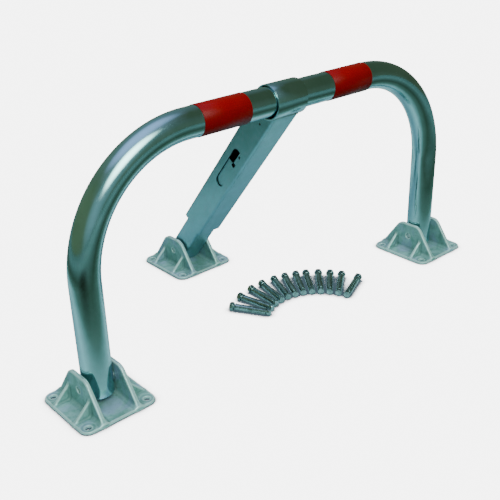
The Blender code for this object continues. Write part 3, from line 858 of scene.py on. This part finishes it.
def wear_and_shade_of(mesh, rounds=6):
    """About 0.5 on flats, more on ridges and less in hollows, from how the neighbours lie."""
    places = vertices_of(mesh)
    pairs = np.empty(len(mesh.edges) * 2, int)
    mesh.edges.foreach_get("vertices", pairs)
    first, second = pairs.reshape(-1, 2).T
    normals = np.empty(len(mesh.vertices) * 3)
    mesh.vertex_normals.foreach_get("vector", normals)
    normals = normals.reshape(-1, 3)
    count = np.bincount(first, minlength=len(places)) + np.bincount(second, minlength=len(places))
    step = places[second] - places[first]
    drop = -np.bincount(first, (step * normals[first]).sum(1), len(places))
    drop += np.bincount(second, (step * normals[second]).sum(1), len(places))
    drop /= count
    for _ in range(rounds):
        near = np.bincount(first, drop[second], len(places))
        near += np.bincount(second, drop[first], len(places))
        drop = (drop + near / count) / 2
    return np.clip(0.5 + drop / WEAR_AND_SHADE_DEPTH, 0.0, 1.0)


FRONT_SHOULDER = 9.0 * MM
REAR_SHOULDER = 12.0 * MM
casting_plan = base_plan()
for side, shoulder in (("left", FRONT_SHOULDER), ("right", FRONT_SHOULDER), ("rear", REAR_SHOULDER)):
    base = grow(f"{side}_casting", casting_plan, {"Shoulder": shoulder, "Finish": casting.material})
    # Ridges get wear and hollows get painted shade from this attribute.
    add_values(base.data, "worn", wear_and_shade_of(base.data))
    spot = middle_of(f"{side}_base")
    base.data.transform(Matrix.Translation((spot.x, spot.y, 0)))
    dress(base, casting, "ground_set", "cast_aluminium", f"{side}_base")


# %% [markdown]
# Each base's pin is a plain bar knocked through both ears, a little short of their faces. Its ends
# are chamfered and carry the small centre dimple that the lathe leaves.

# %% Pivot pins
def pivot_pin(side):
    """A pin along X with chamfered, centred ends."""
    node = f"{side}_pivot_pin"
    half = half_of(node, X)
    chamfer = [(half - 1.4 * MM, PIN_RADIUS), (half - 0.2 * MM, PIN_RADIUS - 1.1 * MM),
               (half, PIN_RADIUS - 1.6 * MM)]
    dimple = [(half, 1.5 * MM), (half - 1.0 * MM, 0.2 * MM)]
    end = chamfer + dimple
    profile = [(-x, radius) for x, radius in reversed(end)] + end
    mesh = smooth(lathe(f"{side}_pin", profile, 48, centre=middle_of(node)), 30)
    return dress(link(mesh.name, mesh), pin_steel, "ground_set", "pin_steel", node)


for side in ("left", "right", "rear"):
    pivot_pin(side)


# %% [markdown]
# The collar is a short pipe that slips on the hoop and turns on it. It hangs on the tube, so it is a
# hair lower than the tube and the gap shows only underneath. Its edges are eased as a sawn and
# deburred pipe's are.

# %% Collar
COLLAR_EASED = 0.6 * MM
COLLAR_WALL = 3.0 * MM
COLLAR_HALF = half_of("stay_collar", X)
COLLAR_RADIUS = half_of("stay_collar", Y)
COLLAR_MIDDLE = middle_of("stay_collar")


def pipe_profile(half, inside, outside, eased):
    """Half-section of a short pipe with eased edges."""
    right = [(half, inside + eased), (half, outside - eased), (half - 0.3 * eased, outside - 0.3 * eased),
             (half - eased, outside)]
    left = [(-x, radius) for x, radius in reversed(right)]
    return [(half - eased, inside)] + right + left + [(-half + eased, inside)]


collar_profile = pipe_profile(COLLAR_HALF, COLLAR_RADIUS - COLLAR_WALL, COLLAR_RADIUS, COLLAR_EASED)
collar_mesh = smooth(lathe("hoop_collar", collar_profile, 128, closed=True, centre=COLLAR_MIDDLE), 50)
dress(link("hoop_collar", collar_mesh), collar_plating, "stay_outer", "galvanised_steel", "stay_collar")


# %% [markdown]
# The stay is two square tubes, one sliding in the other. Both are modelled upright, where their
# sizes are easy to think about, and leaned afterwards. The outer tube has the long hand slot and a
# small vent hole that the plating bath needs; the inner one has the latch cut into its wall: a shelf,
# a notch for the hook and a round-nosed tongue with the padlock eye.

# %% Stay measures
def stay_frame(node, origin):
    """A node's vertices in the stay's own directions, from a point on its axis."""
    turn = np.array(Matrix.Rotation(-STAY_LEAN, 3, "X"))
    return (spots_of(node) - np.array(origin)) @ turn.T


outer_spots = stay_frame("outer_stay_tube", STAY_TOP)
inner_spots = stay_frame("inner_stay_tube", STAY_TOP)
OUTER_LOW, OUTER_HIGH = outer_spots.min(0), outer_spots.max(0)
INNER_LOW, INNER_HIGH = inner_spots.min(0), inner_spots.max(0)
STRIP = 2.5 * MM
# How deep into the wall and how far along the slot the painted shade reaches.
SLOT_SHADE_DEPTH = 0.5 * MM
SLOT_SHADE_REACH = 22.0 * MM
slot_shade_walls = (OUTER_HIGH[0] - SLOT_SHADE_DEPTH, (OUTER_LOW[1] + OUTER_HIGH[1]) / 2, SLOT_SHADE_REACH)
outer_plating = plated_steel("outer_plating", "lay", **STAY_LOOK, slot_shade=slot_shade_walls)
ROLLED_CORNER = 5.0 * MM
CUT_EASED = 0.45 * MM
SADDLE_BITE = 0.5 * MM
SLOT_TOP = -161.0 * MM
SLOT_LONG = 122.0 * MM
SLOT_WIDE = 26.0 * MM
SLOT_SHIFT = -1.0 * MM
VENT = (-9.0 * MM, -61.0 * MM)
VENT_RADIUS = 2.2 * MM
SHELF = SLOT_TOP - 43.0 * MM
TONGUE_TIP = SLOT_TOP - 6.0 * MM
TONGUE_EDGE = -4.0 * MM
NOTCH_EDGE = -11.0 * MM
NOTCH_TOP = SHELF + 4.0 * MM
NOTCH_FLOOR = NOTCH_TOP - 11.0 * MM
NOTCH_ROUNDING = 0.8 * MM
POST_EDGE = -2.0 * MM
SHELF_ROUNDING = 2.0 * MM
WINDOW_PLAY = 0.8 * MM
EYE = (-9.5 * MM, SLOT_TOP - 15.0 * MM)
EYE_RADIUS = 3.75 * MM
LEAN = Matrix.Translation(STAY_TOP) @ Matrix.Rotation(STAY_LEAN, 4, "X")
print("outer tube", np.round((OUTER_HIGH - OUTER_LOW) / MM, 1),
      "inner tube", np.round((INNER_HIGH - INNER_LOW) / MM, 1))


# %% [markdown]
# Each tube starts as a plain rolled section. The openings are outlines pushed through one wall, as a
# laser would cut them, and the outer tube's top is coped to the collar by a cylinder. The slot's cut
# walls get painted shade in the finish, since a thin wall in a slot catches no light.

# %% Stay tubes
def slot_outline():
    """The hand slot: straight sides and half-round ends."""
    reach = (SLOT_LONG - SLOT_WIDE) / 2
    middle = SLOT_TOP - SLOT_LONG / 2
    outline = []
    for end in (1, -1):
        for step in range(25):
            turn = math.pi * step / 24 + (0 if end > 0 else math.pi)
            outline.append((SLOT_SHIFT + SLOT_WIDE / 2 * math.cos(turn),
                            middle + end * reach + SLOT_WIDE / 2 * math.sin(turn)))
    return outline


def latch_outline():
    """The window behind the slot: tongue, notch, post and shelf."""
    front, rear = SLOT_SHIFT - SLOT_WIDE / 2 - WINDOW_PLAY, SLOT_SHIFT + SLOT_WIDE / 2 + WINDOW_PLAY
    above = INNER_HIGH[2] + STRIP
    points = [(front, above), (front, TONGUE_TIP), (TONGUE_EDGE, TONGUE_TIP), (TONGUE_EDGE, NOTCH_TOP),
              (NOTCH_EDGE, NOTCH_TOP), (NOTCH_EDGE, NOTCH_FLOOR), (POST_EDGE, NOTCH_FLOOR),
              (POST_EDGE, SHELF), (rear, SHELF), (rear, above)]
    nose = (TONGUE_EDGE - front) / 2
    return rounded(points, [0, 0, nose] + [NOTCH_ROUNDING] * 5 + [SHELF_ROUNDING, 0])


def stay_tube(name, low, high, cutters, body, finish):
    """One square tube of the stay, cut, softened and leaned."""
    mesh = tube_of(name, low, high, ROLLED_CORNER, STRIP)
    tube = soften(carve(link(name, mesh), cutters), CUT_EASED)
    add_values(tube.data, "lay", vertices_of(tube.data))
    tube.data.transform(LEAN)
    return dress(tube, finish, body, "galvanised_steel", f"{name}_tube")


wall_left = (OUTER_LOW[0] - STRIP, OUTER_LOW[0] + 2 * STRIP)
sag = Matrix.Rotation(-STAY_LEAN, 3, "X") @ (COLLAR_MIDDLE - STAY_TOP)
saddle = circle(COLLAR_RADIUS - SADDLE_BITE, 96, (sag.y, sag.z))
outer_cutters = [prism("saddle", saddle, -COLLAR_HALF, COLLAR_HALF),
                 prism("slot", slot_outline(), *wall_left),
                 prism("vent", circle(VENT_RADIUS, 20, VENT), *wall_left)]
outer_high = (OUTER_HIGH[0], OUTER_HIGH[1], 0.0)
stay_tube("outer_stay", OUTER_LOW, outer_high, outer_cutters, "stay_outer", outer_plating)
wall_left = (INNER_LOW[0] - STRIP, INNER_LOW[0] + 2 * STRIP)
inner_cutters = [prism("latch", latch_outline(), *wall_left),
                 prism("eye", circle(EYE_RADIUS, 32, EYE), *wall_left)]
stay_tube("inner_stay", INNER_LOW, INNER_HIGH, inner_cutters, "stay_inner", stay_plating)


# %% [markdown]
# Behind the tongue hangs the lock keeper, a stepped strip welded inside the outer tube with its own
# eye, so that a padlock through both eyes holds the stay. Its node's shape is right already: a merged
# copy gets its edges eased, and takes the node's place.

# %% Lock keeper
keeper_mesh = frame["nodes"]["lock_keeper"].data.copy()
shape = bmesh.new()
shape.from_mesh(keeper_mesh)
bmesh.ops.remove_doubles(shape, verts=shape.verts, dist=0.01 * MM)
bmesh.ops.dissolve_limit(shape, angle_limit=math.radians(2), verts=shape.verts, edges=shape.edges)
shape.to_mesh(keeper_mesh)
shape.free()
KEEPER_EASED = 0.35 * MM
keeper = soften(link("latch_keeper", keeper_mesh), KEEPER_EASED)
dress(keeper, keeper_steel, "stay_outer", "pin_steel", "lock_keeper")


# %% [markdown]
# Where pieces are welded there is a bead of small overlapping ripples. That repeats along a path, so
# a plan does it: the path is resampled, a squashed ball is set on each point and turned to the path,
# and the sizes vary a little with a fixed seed. The path itself is a short formula: the saddle where
# the square tube meets the round collar, or the ring where a bush comes out of its tube.

# %% Weld beads
def bead_plan():
    """Overlapping ripples along a path."""
    plan = Plan("weld bead")
    spacing, radius = plan.ask("Spacing"), plan.ask("Radius")
    curve = plan.node("GeometryNodeMeshToCurve", {"Mesh": plan.start()})
    points = plan.node("GeometryNodeResampleCurve", {"Curve": curve, "Length": spacing}, mode="LENGTH")
    tangent = plan.node("GeometryNodeInputTangent")
    turn = plan.node("FunctionNodeAlignRotationToVector", {"Vector": tangent}, "Rotation", axis="X")
    ball = plan.node("GeometryNodeMeshIcoSphere", {"Radius": 1.0, "Subdivisions": 2}, "Mesh")
    vary = plan.node("FunctionNodeRandomValue", {"Min_001": 0.88, "Max_001": 1.10, "Seed": 7},
                     "Value_001", data_type="FLOAT")
    size = plan.join(radius * vary * 0.75, radius * vary, radius * vary)
    return plan.finish(plan.node("GeometryNodeInstanceOnPoints",
                                 {"Points": points, "Instance": ball, "Rotation": turn, "Scale": size}))


def weld(name, points, radius, body, slot, turn=None, step=1.5 * MM):
    """A closed bead along points."""
    count = len(points)
    path = bpy.data.meshes.new(name)
    path.from_pydata(points, [(spot, (spot + 1) % count) for spot in range(count)], [])
    if turn:
        path.transform(turn)
    sizes = {"Spacing": step, "Radius": radius, "Finish": weld_metal.material}
    return dress(grow(name, bead, sizes, path), weld_metal, body, slot)


def saddle_path(inset=0.2 * MM, steps=40):
    """Where the outer tube's faces meet the collar, once round, in the stay's directions."""
    corners = square_ring(OUTER_LOW, OUTER_HIGH, inset, ROLLED_CORNER, 4)
    points = []
    for index, (x, y) in enumerate(corners):
        far_x, far_y = corners[(index + 1) % len(corners)]
        parts = steps if math.hypot(far_x - x, far_y - y) > ROLLED_CORNER else 1
        for part in range(parts):
            share = part / parts
            side, back_y = x + (far_x - x) * share, y + (far_y - y) * share
            drop = math.sqrt(max(COLLAR_RADIUS ** 2 - (back_y - sag.y) ** 2, 0.0))
            points.append((side, back_y, sag.z - drop))
    return points


bead = bead_plan()
COLLAR_BEAD = 1.9 * MM
VENT_BEAD = 0.7 * MM
weld("collar_weld", saddle_path(), COLLAR_BEAD, "stay_outer", "galvanised_steel", LEAN)
vent_circle = [(OUTER_LOW[0], y, z) for y, z in circle(VENT_RADIUS + 0.4 * MM, 24, VENT)]
weld("vent_rim", vent_circle, VENT_BEAD, "stay_outer", "galvanised_steel", LEAN, 2 * VENT_BEAD)


def bush_ring(centre, side, wall):
    """The ring where a bush leaves a flat wall, or the round tube if there is no wall."""
    ring = []
    for y, z in circle(BUSH_RADIUS + BUSH_BEAD / 4, 48):
        x = wall or math.sqrt(TUBE_RADIUS ** 2 - y * y)
        ring.append((centre.x + side * x, centre.y + y, centre.z + z))
    return ring


BUSH_RADIUS = half_of("left_foot_bush", Z)
BUSH_BEAD = 1.2 * MM
for node, body, wall in (("left_foot_bush", "hoop", None), ("right_foot_bush", "hoop", None),
                         ("inner_foot_bush", "stay_inner", INNER_HIGH[0])):
    for side, label in ((-1, "left"), (1, "right")):
        ring = bush_ring(middle_of(node), side, wall)
        weld(node.replace("_bush", f"_weld_{label}"), ring, BUSH_BEAD, body, "pin_steel")
    bush = frame["nodes"][node].data
    bush.materials.clear()
    bush.materials.append(pin_steel.material)


# %% [markdown]
# Twelve expansion anchors lie on the ground, ready for the bases' twelve holes. Each is a hexagon
# bolt with a cone on its far end, a washer, and a slotted sleeve that the cone spreads. One of each is
# made as a template along X; a plan sets it on twelve points, whose directions are measured from the
# frame's own sleeves, and turns each bolt by whole sixths so that a flat still rests on the ground.

# %% Anchor sizes
FLATS = 17.0 * MM
HEAD_LONG = 9.0 * MM
HEAD_FACE = 7.6 * MM
NECK_LONG = 4.0 * MM
SHANK = 4.8 * MM
PITCH = 1.5 * MM
THREAD_DEPTH = 0.45 * MM
ANCHOR_LONG = 96.0 * MM
CONE_LONG = 10.0 * MM
SLEEVE_RADIUS = 7.25 * MM
SLEEVE_WALL = 2.0 * MM
WASHER_THICK = 2.0 * MM
WASHER_RADIUS = 8.3 * MM
HEAD_TURN = math.radians(30)
SIXTH = math.radians(60)
SLEEVE_START = HEAD_LONG + NECK_LONG + WASHER_THICK + 0.3 * MM
SLEEVE_END = ANCHOR_LONG - CONE_LONG - 0.3 * MM
SLIT_LONG = 30.0 * MM


def chamfered(turn, radius):
    """What brings a radius down to the hexagon's face: on a cone this makes the chamfer's arcs."""
    face = FLATS / 2 / math.cos((turn + HEAD_TURN + SIXTH / 2) % SIXTH - SIXTH / 2)
    return min(face, radius) - radius


def hexagon_bolt(name):
    """A bolt with a chamfered hexagon head, threads on its neck and a cone at its end."""
    rise = FLATS / math.sqrt(3) - HEAD_FACE
    profile = [(0.0, HEAD_FACE), (0.15 * MM, HEAD_FACE + 0.4 * MM), (rise * 0.3, HEAD_FACE + rise * 0.55),
               (rise * 0.6, HEAD_FACE + rise * 1.02), (HEAD_LONG - rise * 0.35, HEAD_FACE + rise * 1.02),
               (HEAD_LONG, HEAD_FACE + rise * 0.5), (HEAD_LONG, SHANK)]
    for groove in range(round(NECK_LONG / PITCH) + 1):
        start = HEAD_LONG + 0.3 * MM + groove * PITCH
        profile += [(start, SHANK), (start + PITCH * 0.45, SHANK - THREAD_DEPTH),
                    (start + PITCH * 0.9, SHANK)]
    cone = ANCHOR_LONG - CONE_LONG
    profile += [(cone, SHANK), (cone + 0.4 * MM, SHANK + 0.6 * MM),
                (cone + CONE_LONG * 0.5, SLEEVE_RADIUS), (ANCHOR_LONG - 0.9 * MM, SLEEVE_RADIUS),
                (ANCHOR_LONG - 0.25 * MM, SLEEVE_RADIUS - 0.4 * MM),
                (ANCHOR_LONG, SLEEVE_RADIUS - 1.1 * MM)]
    return link(name, smooth(lathe(name, profile, 96, bulge=chamfered), 28))


def slotted_sleeve(name, sides=36, cuts=4):
    """A rolled sleeve with slits from its cone end; its wall is added inwards."""
    shape = bmesh.new()
    lengths = [SLEEVE_START, SLEEVE_END - SLIT_LONG, SLEEVE_END - SLIT_LONG / 2, SLEEVE_END]
    rows = [[shape.verts.new((x, y, z)) for y, z in circle(SLEEVE_RADIUS, sides)] for x in lengths]
    for index, (low, high) in enumerate(zip(rows, rows[1:])):
        for side in range(sides):
            slit = side % (sides // cuts) == 0 and index > 0
            if not slit:
                far = (side + 1) % sides
                shape.faces.new((low[side], high[side], high[far], low[far]))
    bmesh.ops.recalc_face_normals(shape, faces=shape.faces)
    mesh = bpy.data.meshes.new(name)
    shape.to_mesh(mesh)
    shape.free()
    sleeve = link(name, mesh)
    wall = sleeve.modifiers.new("wall", "SOLIDIFY")
    wall.thickness = SLEEVE_WALL
    wall.offset = -1.0
    return soften(sleeve, 0.25 * MM, 1, 50.0)


def plain_washer(name):
    """A washer with eased edges."""
    start, edge = HEAD_LONG + NECK_LONG, 0.3 * MM
    profile = [(start, SHANK + 0.3 * MM), (start, WASHER_RADIUS - edge), (start + edge, WASHER_RADIUS),
               (start + WASHER_THICK - edge, WASHER_RADIUS), (start + WASHER_THICK, WASHER_RADIUS - edge),
               (start + WASHER_THICK, SHANK + 0.3 * MM)]
    return link(name, smooth(lathe(name, profile, 48, closed=True), 28))


# %% [markdown]
# The plan needs a point and a direction for each anchor. The long direction of a sleeve comes from
# its vertices, and the bolt sticks out furthest at its head, which tells the two ends apart.

# %% Anchor plan
def scatter_plan(turn_step):
    """A template on every point, turned by the point's own angles and rolled about its own axis."""
    plan = Plan(f"anchors by {turn_step:.2f}")
    template = plan.ask("Template", "object")
    seed = plan.ask("Seed", int)
    shape = plan.node("GeometryNodeObjectInfo", {"Object": template}, "Geometry")
    points = plan.node("GeometryNodeMeshToPoints", {"Mesh": plan.start()})
    aim = plan.node("GeometryNodeInputNamedAttribute", {"Name": "aim"}, "Attribute",
                    data_type="FLOAT_VECTOR")
    roll = plan.node("FunctionNodeRandomValue", {"Min_002": 0, "Max_002": 5, "Seed": seed}, "Value_002",
                     data_type="INT")
    spin = plan.node("FunctionNodeEulerToRotation", {0: plan.join(roll * turn_step)})
    lie = plan.node("FunctionNodeEulerToRotation", {0: aim})
    both = plan.node("FunctionNodeRotateRotation", {"Rotation": lie, "Rotate By": spin},
                     rotation_space="LOCAL")
    return plan.finish(plan.node("GeometryNodeInstanceOnPoints",
                                 {"Points": points, "Instance": shape, "Rotation": both}))


def anchor_lines():
    """Head end and Euler angles of every anchor, measured from its sleeve and its bolt."""
    starts, aims = [], []
    for node in sorted(name for name in frame["nodes"] if name.startswith("anchor_sleeve")):
        spots = spots_of(node)
        middle = spots.mean(0)
        axis = np.linalg.svd(spots - middle)[2][0]
        bolt = spots_of(node.replace("sleeve", "bolt"))
        reach = (bolt - middle) @ axis
        if abs(reach.max()) > abs(reach.min()):
            axis, reach = -axis, -reach
        starts.append(middle + axis * reach.min())
        aims.append((0.0, -math.asin(axis[2]), math.atan2(axis[1], axis[0])))
    return starts, np.array(aims)


ANCHOR_SEED = 3
starts, aims = anchor_lines()
print(len(starts), "anchors found in the frame")
anchor_points = bpy.data.meshes.new("anchor_points")
anchor_points.from_pydata([tuple(start) for start in starts], [], [])
add_values(anchor_points, "aim", aims)
bolt_plan, sleeve_plan = scatter_plan(SIXTH), scatter_plan(1.0)
for kind, make, plan in (("bolt", hexagon_bolt, bolt_plan), ("washer", plain_washer, bolt_plan),
                         ("sleeve", slotted_sleeve, sleeve_plan)):
    template = make(f"{kind}_template")
    values = {"Template": template, "Seed": ANCHOR_SEED, "Finish": anchor_steel.material}
    group = grow(f"anchor_{kind}s", plan, values, anchor_points.copy())
    nodes = [name for name in frame["nodes"] if name.startswith(f"anchor_{kind}_")]
    dress(group, anchor_steel, "ground_set", "anchor_zinc", *nodes)
    bpy.data.objects.remove(template)


# %% [markdown]
# The light is a plain room. Bright metal has hardly any colour of its own, so most of what it shows is
# the room: a cool ceiling, one bright window high on the left, darker green-grey walls, and a floor
# whose colour paints light and shade, pale near the object and darker away from it. The world holds
# the walls and ceiling as a few soft patches by direction, and the camera doesn't see it.

# %% Room
def patch(room, look, azimuth, height, inner, outer):
    """How far a direction is inside a round soft patch of the room."""
    turn, rise = math.radians(azimuth), math.radians(height)
    centre = (math.cos(turn) * math.cos(rise), math.sin(turn) * math.cos(rise), math.sin(rise))
    near = room.node("ShaderNodeVectorMath", {0: look, 1: centre}, "Value", operation="DOT_PRODUCT")
    return room.between(near, math.cos(math.radians(outer)), math.cos(math.radians(inner)))


# Azimuth and height of the middle, then the inner and the outer angle, in degrees, then the light.
PATCHES = ((160, 8, 30, 90, rgb(0.15, 0.22, 0.12)),
           (350, 30, 26, 66, rgb(0.085, 0.120, 0.070)),
           (115, 82, 8, 33, rgb(0.78, 1.00, 1.50)),
           (245, 26, 12, 42, rgb(0.27, 0.46, 0.47)),
           (255, 45, 2, 25, rgb(7.0, 9.6, 8.4)))


def build_room():
    """The world: a ceiling over walls, and the patches laid on them."""
    world = bpy.data.worlds.new("room")
    world.use_nodes = True
    bpy.context.scene.world = world
    room = Recipe(world.node_tree)
    look = room.node("ShaderNodeTexCoord", out="Generated")
    rise = room.split(look)[Z]
    colour = room.ramp(room.between(rise, -1.0, 1.0), (0.0, rgb(0.12, 0.20, 0.14)),
                       (0.50, rgb(0.14, 0.22, 0.16)), (0.66, rgb(0.17, 0.27, 0.22)),
                       (0.85, rgb(0.24, 0.38, 0.46)), (1.0, rgb(0.70, 0.90, 1.20)))
    for *where, shade in PATCHES:
        colour = room.mix(patch(room, look, *where), colour, shade)
    room.fill(world.node_tree.nodes["Background"].inputs["Color"], colour)
    world.cycles_visibility.camera = False


build_room()
print(f"room: a ceiling over walls, with {len(PATCHES)} patches")


# %% [markdown]
# Three sheets stand in for the surroundings. The floor is seen only by the rays that bounce off the
# object; its colour is painted light and shade, brightest a little way from the hoop's line and
# darker further out, with a painted shadow at the front left. The paper is what the camera sees
# under it, with a thin contact shade where something rests on it. A wide sphere closes the view behind.

# %% Floor and backdrop
WHITE = 6.0
FLOOR_DROP = 0.4 * MM
PAPER_DROP = 0.3 * MM
FLOOR_RADIUS = 6.0
FLOOR_FADE = 1.6
PALE_LINE_Y = 0.12
# Where the painted shadow on the floor lies, in x and y.
PAINTED_SHADOW_SPOT = (-0.95, -0.70)
BACKDROP_RADIUS = 40.0
CONTACT_REACH = 18.0 * MM


def stand(name, mesh, finish, *rays):
    """Put a mesh that is not part of the object in the scene, seen by these kinds of ray only."""
    mesh.materials.append(finish.material)
    thing = link(name, mesh)
    for kind in ("camera", "diffuse", "glossy", "transmission", "volume_scatter", "shadow"):
        setattr(thing, f"visible_{kind}", kind in rays)


def sheet(name, radius, drop, sides=96):
    """A flat round sheet just below the ground."""
    mesh = bpy.data.meshes.new(name)
    mesh.from_pydata([(x, y, -drop) for x, y in circle(radius, sides)], [], [tuple(range(sides))])
    return mesh


def glow(name):
    """A finish that only shines, in white."""
    return Finish(name, {"Base Color": rgb(0, 0, 0), "Specular IOR Level": 0.0,
                         "Emission Strength": WHITE, "Emission Color": rgb(1, 1, 1)})


ground = Finish("floor_paper", {"Roughness": 0.9, "Specular IOR Level": 0.1})
across, depth, _ = ground.split(ground.place())
beyond = ground.larger(abs(across) - LEG_X, 0.0)
away = ground.length(beyond, depth - PALE_LINE_Y)
# Painted light and shade on the floor: brightest about a third of a metre from the hoop's line, darker
# further out.
painted_floor_light = ground.ramp(away / FLOOR_FADE, (0.0, rgb(0.17, 0.27, 0.31)), (0.08, rgb(0.22, 0.34, 0.37)),
                            (0.20, rgb(0.40, 0.57, 0.58)), (0.34, rgb(0.09, 0.14, 0.11)),
                            (0.50, rgb(0.035, 0.055, 0.035)), (1.0, rgb(0.14, 0.21, 0.19)))
# A painted shadow on the floor at the front left, almost black.
painted_shadow = ground.between(ground.length(across - PAINTED_SHADOW_SPOT[X], depth - PAINTED_SHADOW_SPOT[Y]), 0.12, 0.42)
ground.shade({"Base Color": ground.mix(painted_shadow, rgb(0.010, 0.014, 0.006), painted_floor_light)})
stand("floor", sheet("floor", FLOOR_RADIUS, FLOOR_DROP), ground, "diffuse", "glossy", "shadow")

contact = glow("paper_white")
open_sky = contact.node("ShaderNodeAmbientOcclusion", {"Distance": CONTACT_REACH}, "AO", samples=8)
contact.shade({"Emission Color": contact.mix(contact.between(open_sky, 0.62, 0.95),
                                             rgb(0.012, 0.02, 0.025), rgb(1, 1, 1))})
stand("paper", sheet("paper", BACKDROP_RADIUS, PAPER_DROP), contact, "camera")

arc = [(BACKDROP_RADIUS * x, max(BACKDROP_RADIUS * y, 0.01)) for x, y in circle(1.0, 48)[:25]]
stand("backdrop", lathe("backdrop", arc, 48), glow("background_white"), "camera")
print("surroundings: floor, paper and backdrop")


# %% [markdown]
# Two square lamps fill in: one over the viewer's shoulder, one above and behind the hoop. They don't
# show in reflections, where the room's own patches make the highlights.

# %% Lamps
def softbox(name, place, aim, across, power, colour):
    """A square area lamp aimed at a point, hidden from reflections."""
    lamp = bpy.data.lights.new(name, "AREA")
    lamp.size = across
    lamp.energy = power
    lamp.color = colour
    box = link(name, lamp)
    box.location = place
    box.rotation_euler = (Vector(aim) - Vector(place)).to_track_quat("-Z", "Y").to_euler()
    box.visible_glossy = False
    print(f"{name} lamp: {power:.0f} W")


softbox("key", (-1.2, -2.2, 2.6), (0.0, 0.0, 0.2), 1.2, 40.0, (1.0, 1.0, 0.97))
softbox("top", (0.3, 0.6, 3.0), (0.0, 0.0, 0.0), 1.0, 55.0, (0.88, 0.96, 1.0))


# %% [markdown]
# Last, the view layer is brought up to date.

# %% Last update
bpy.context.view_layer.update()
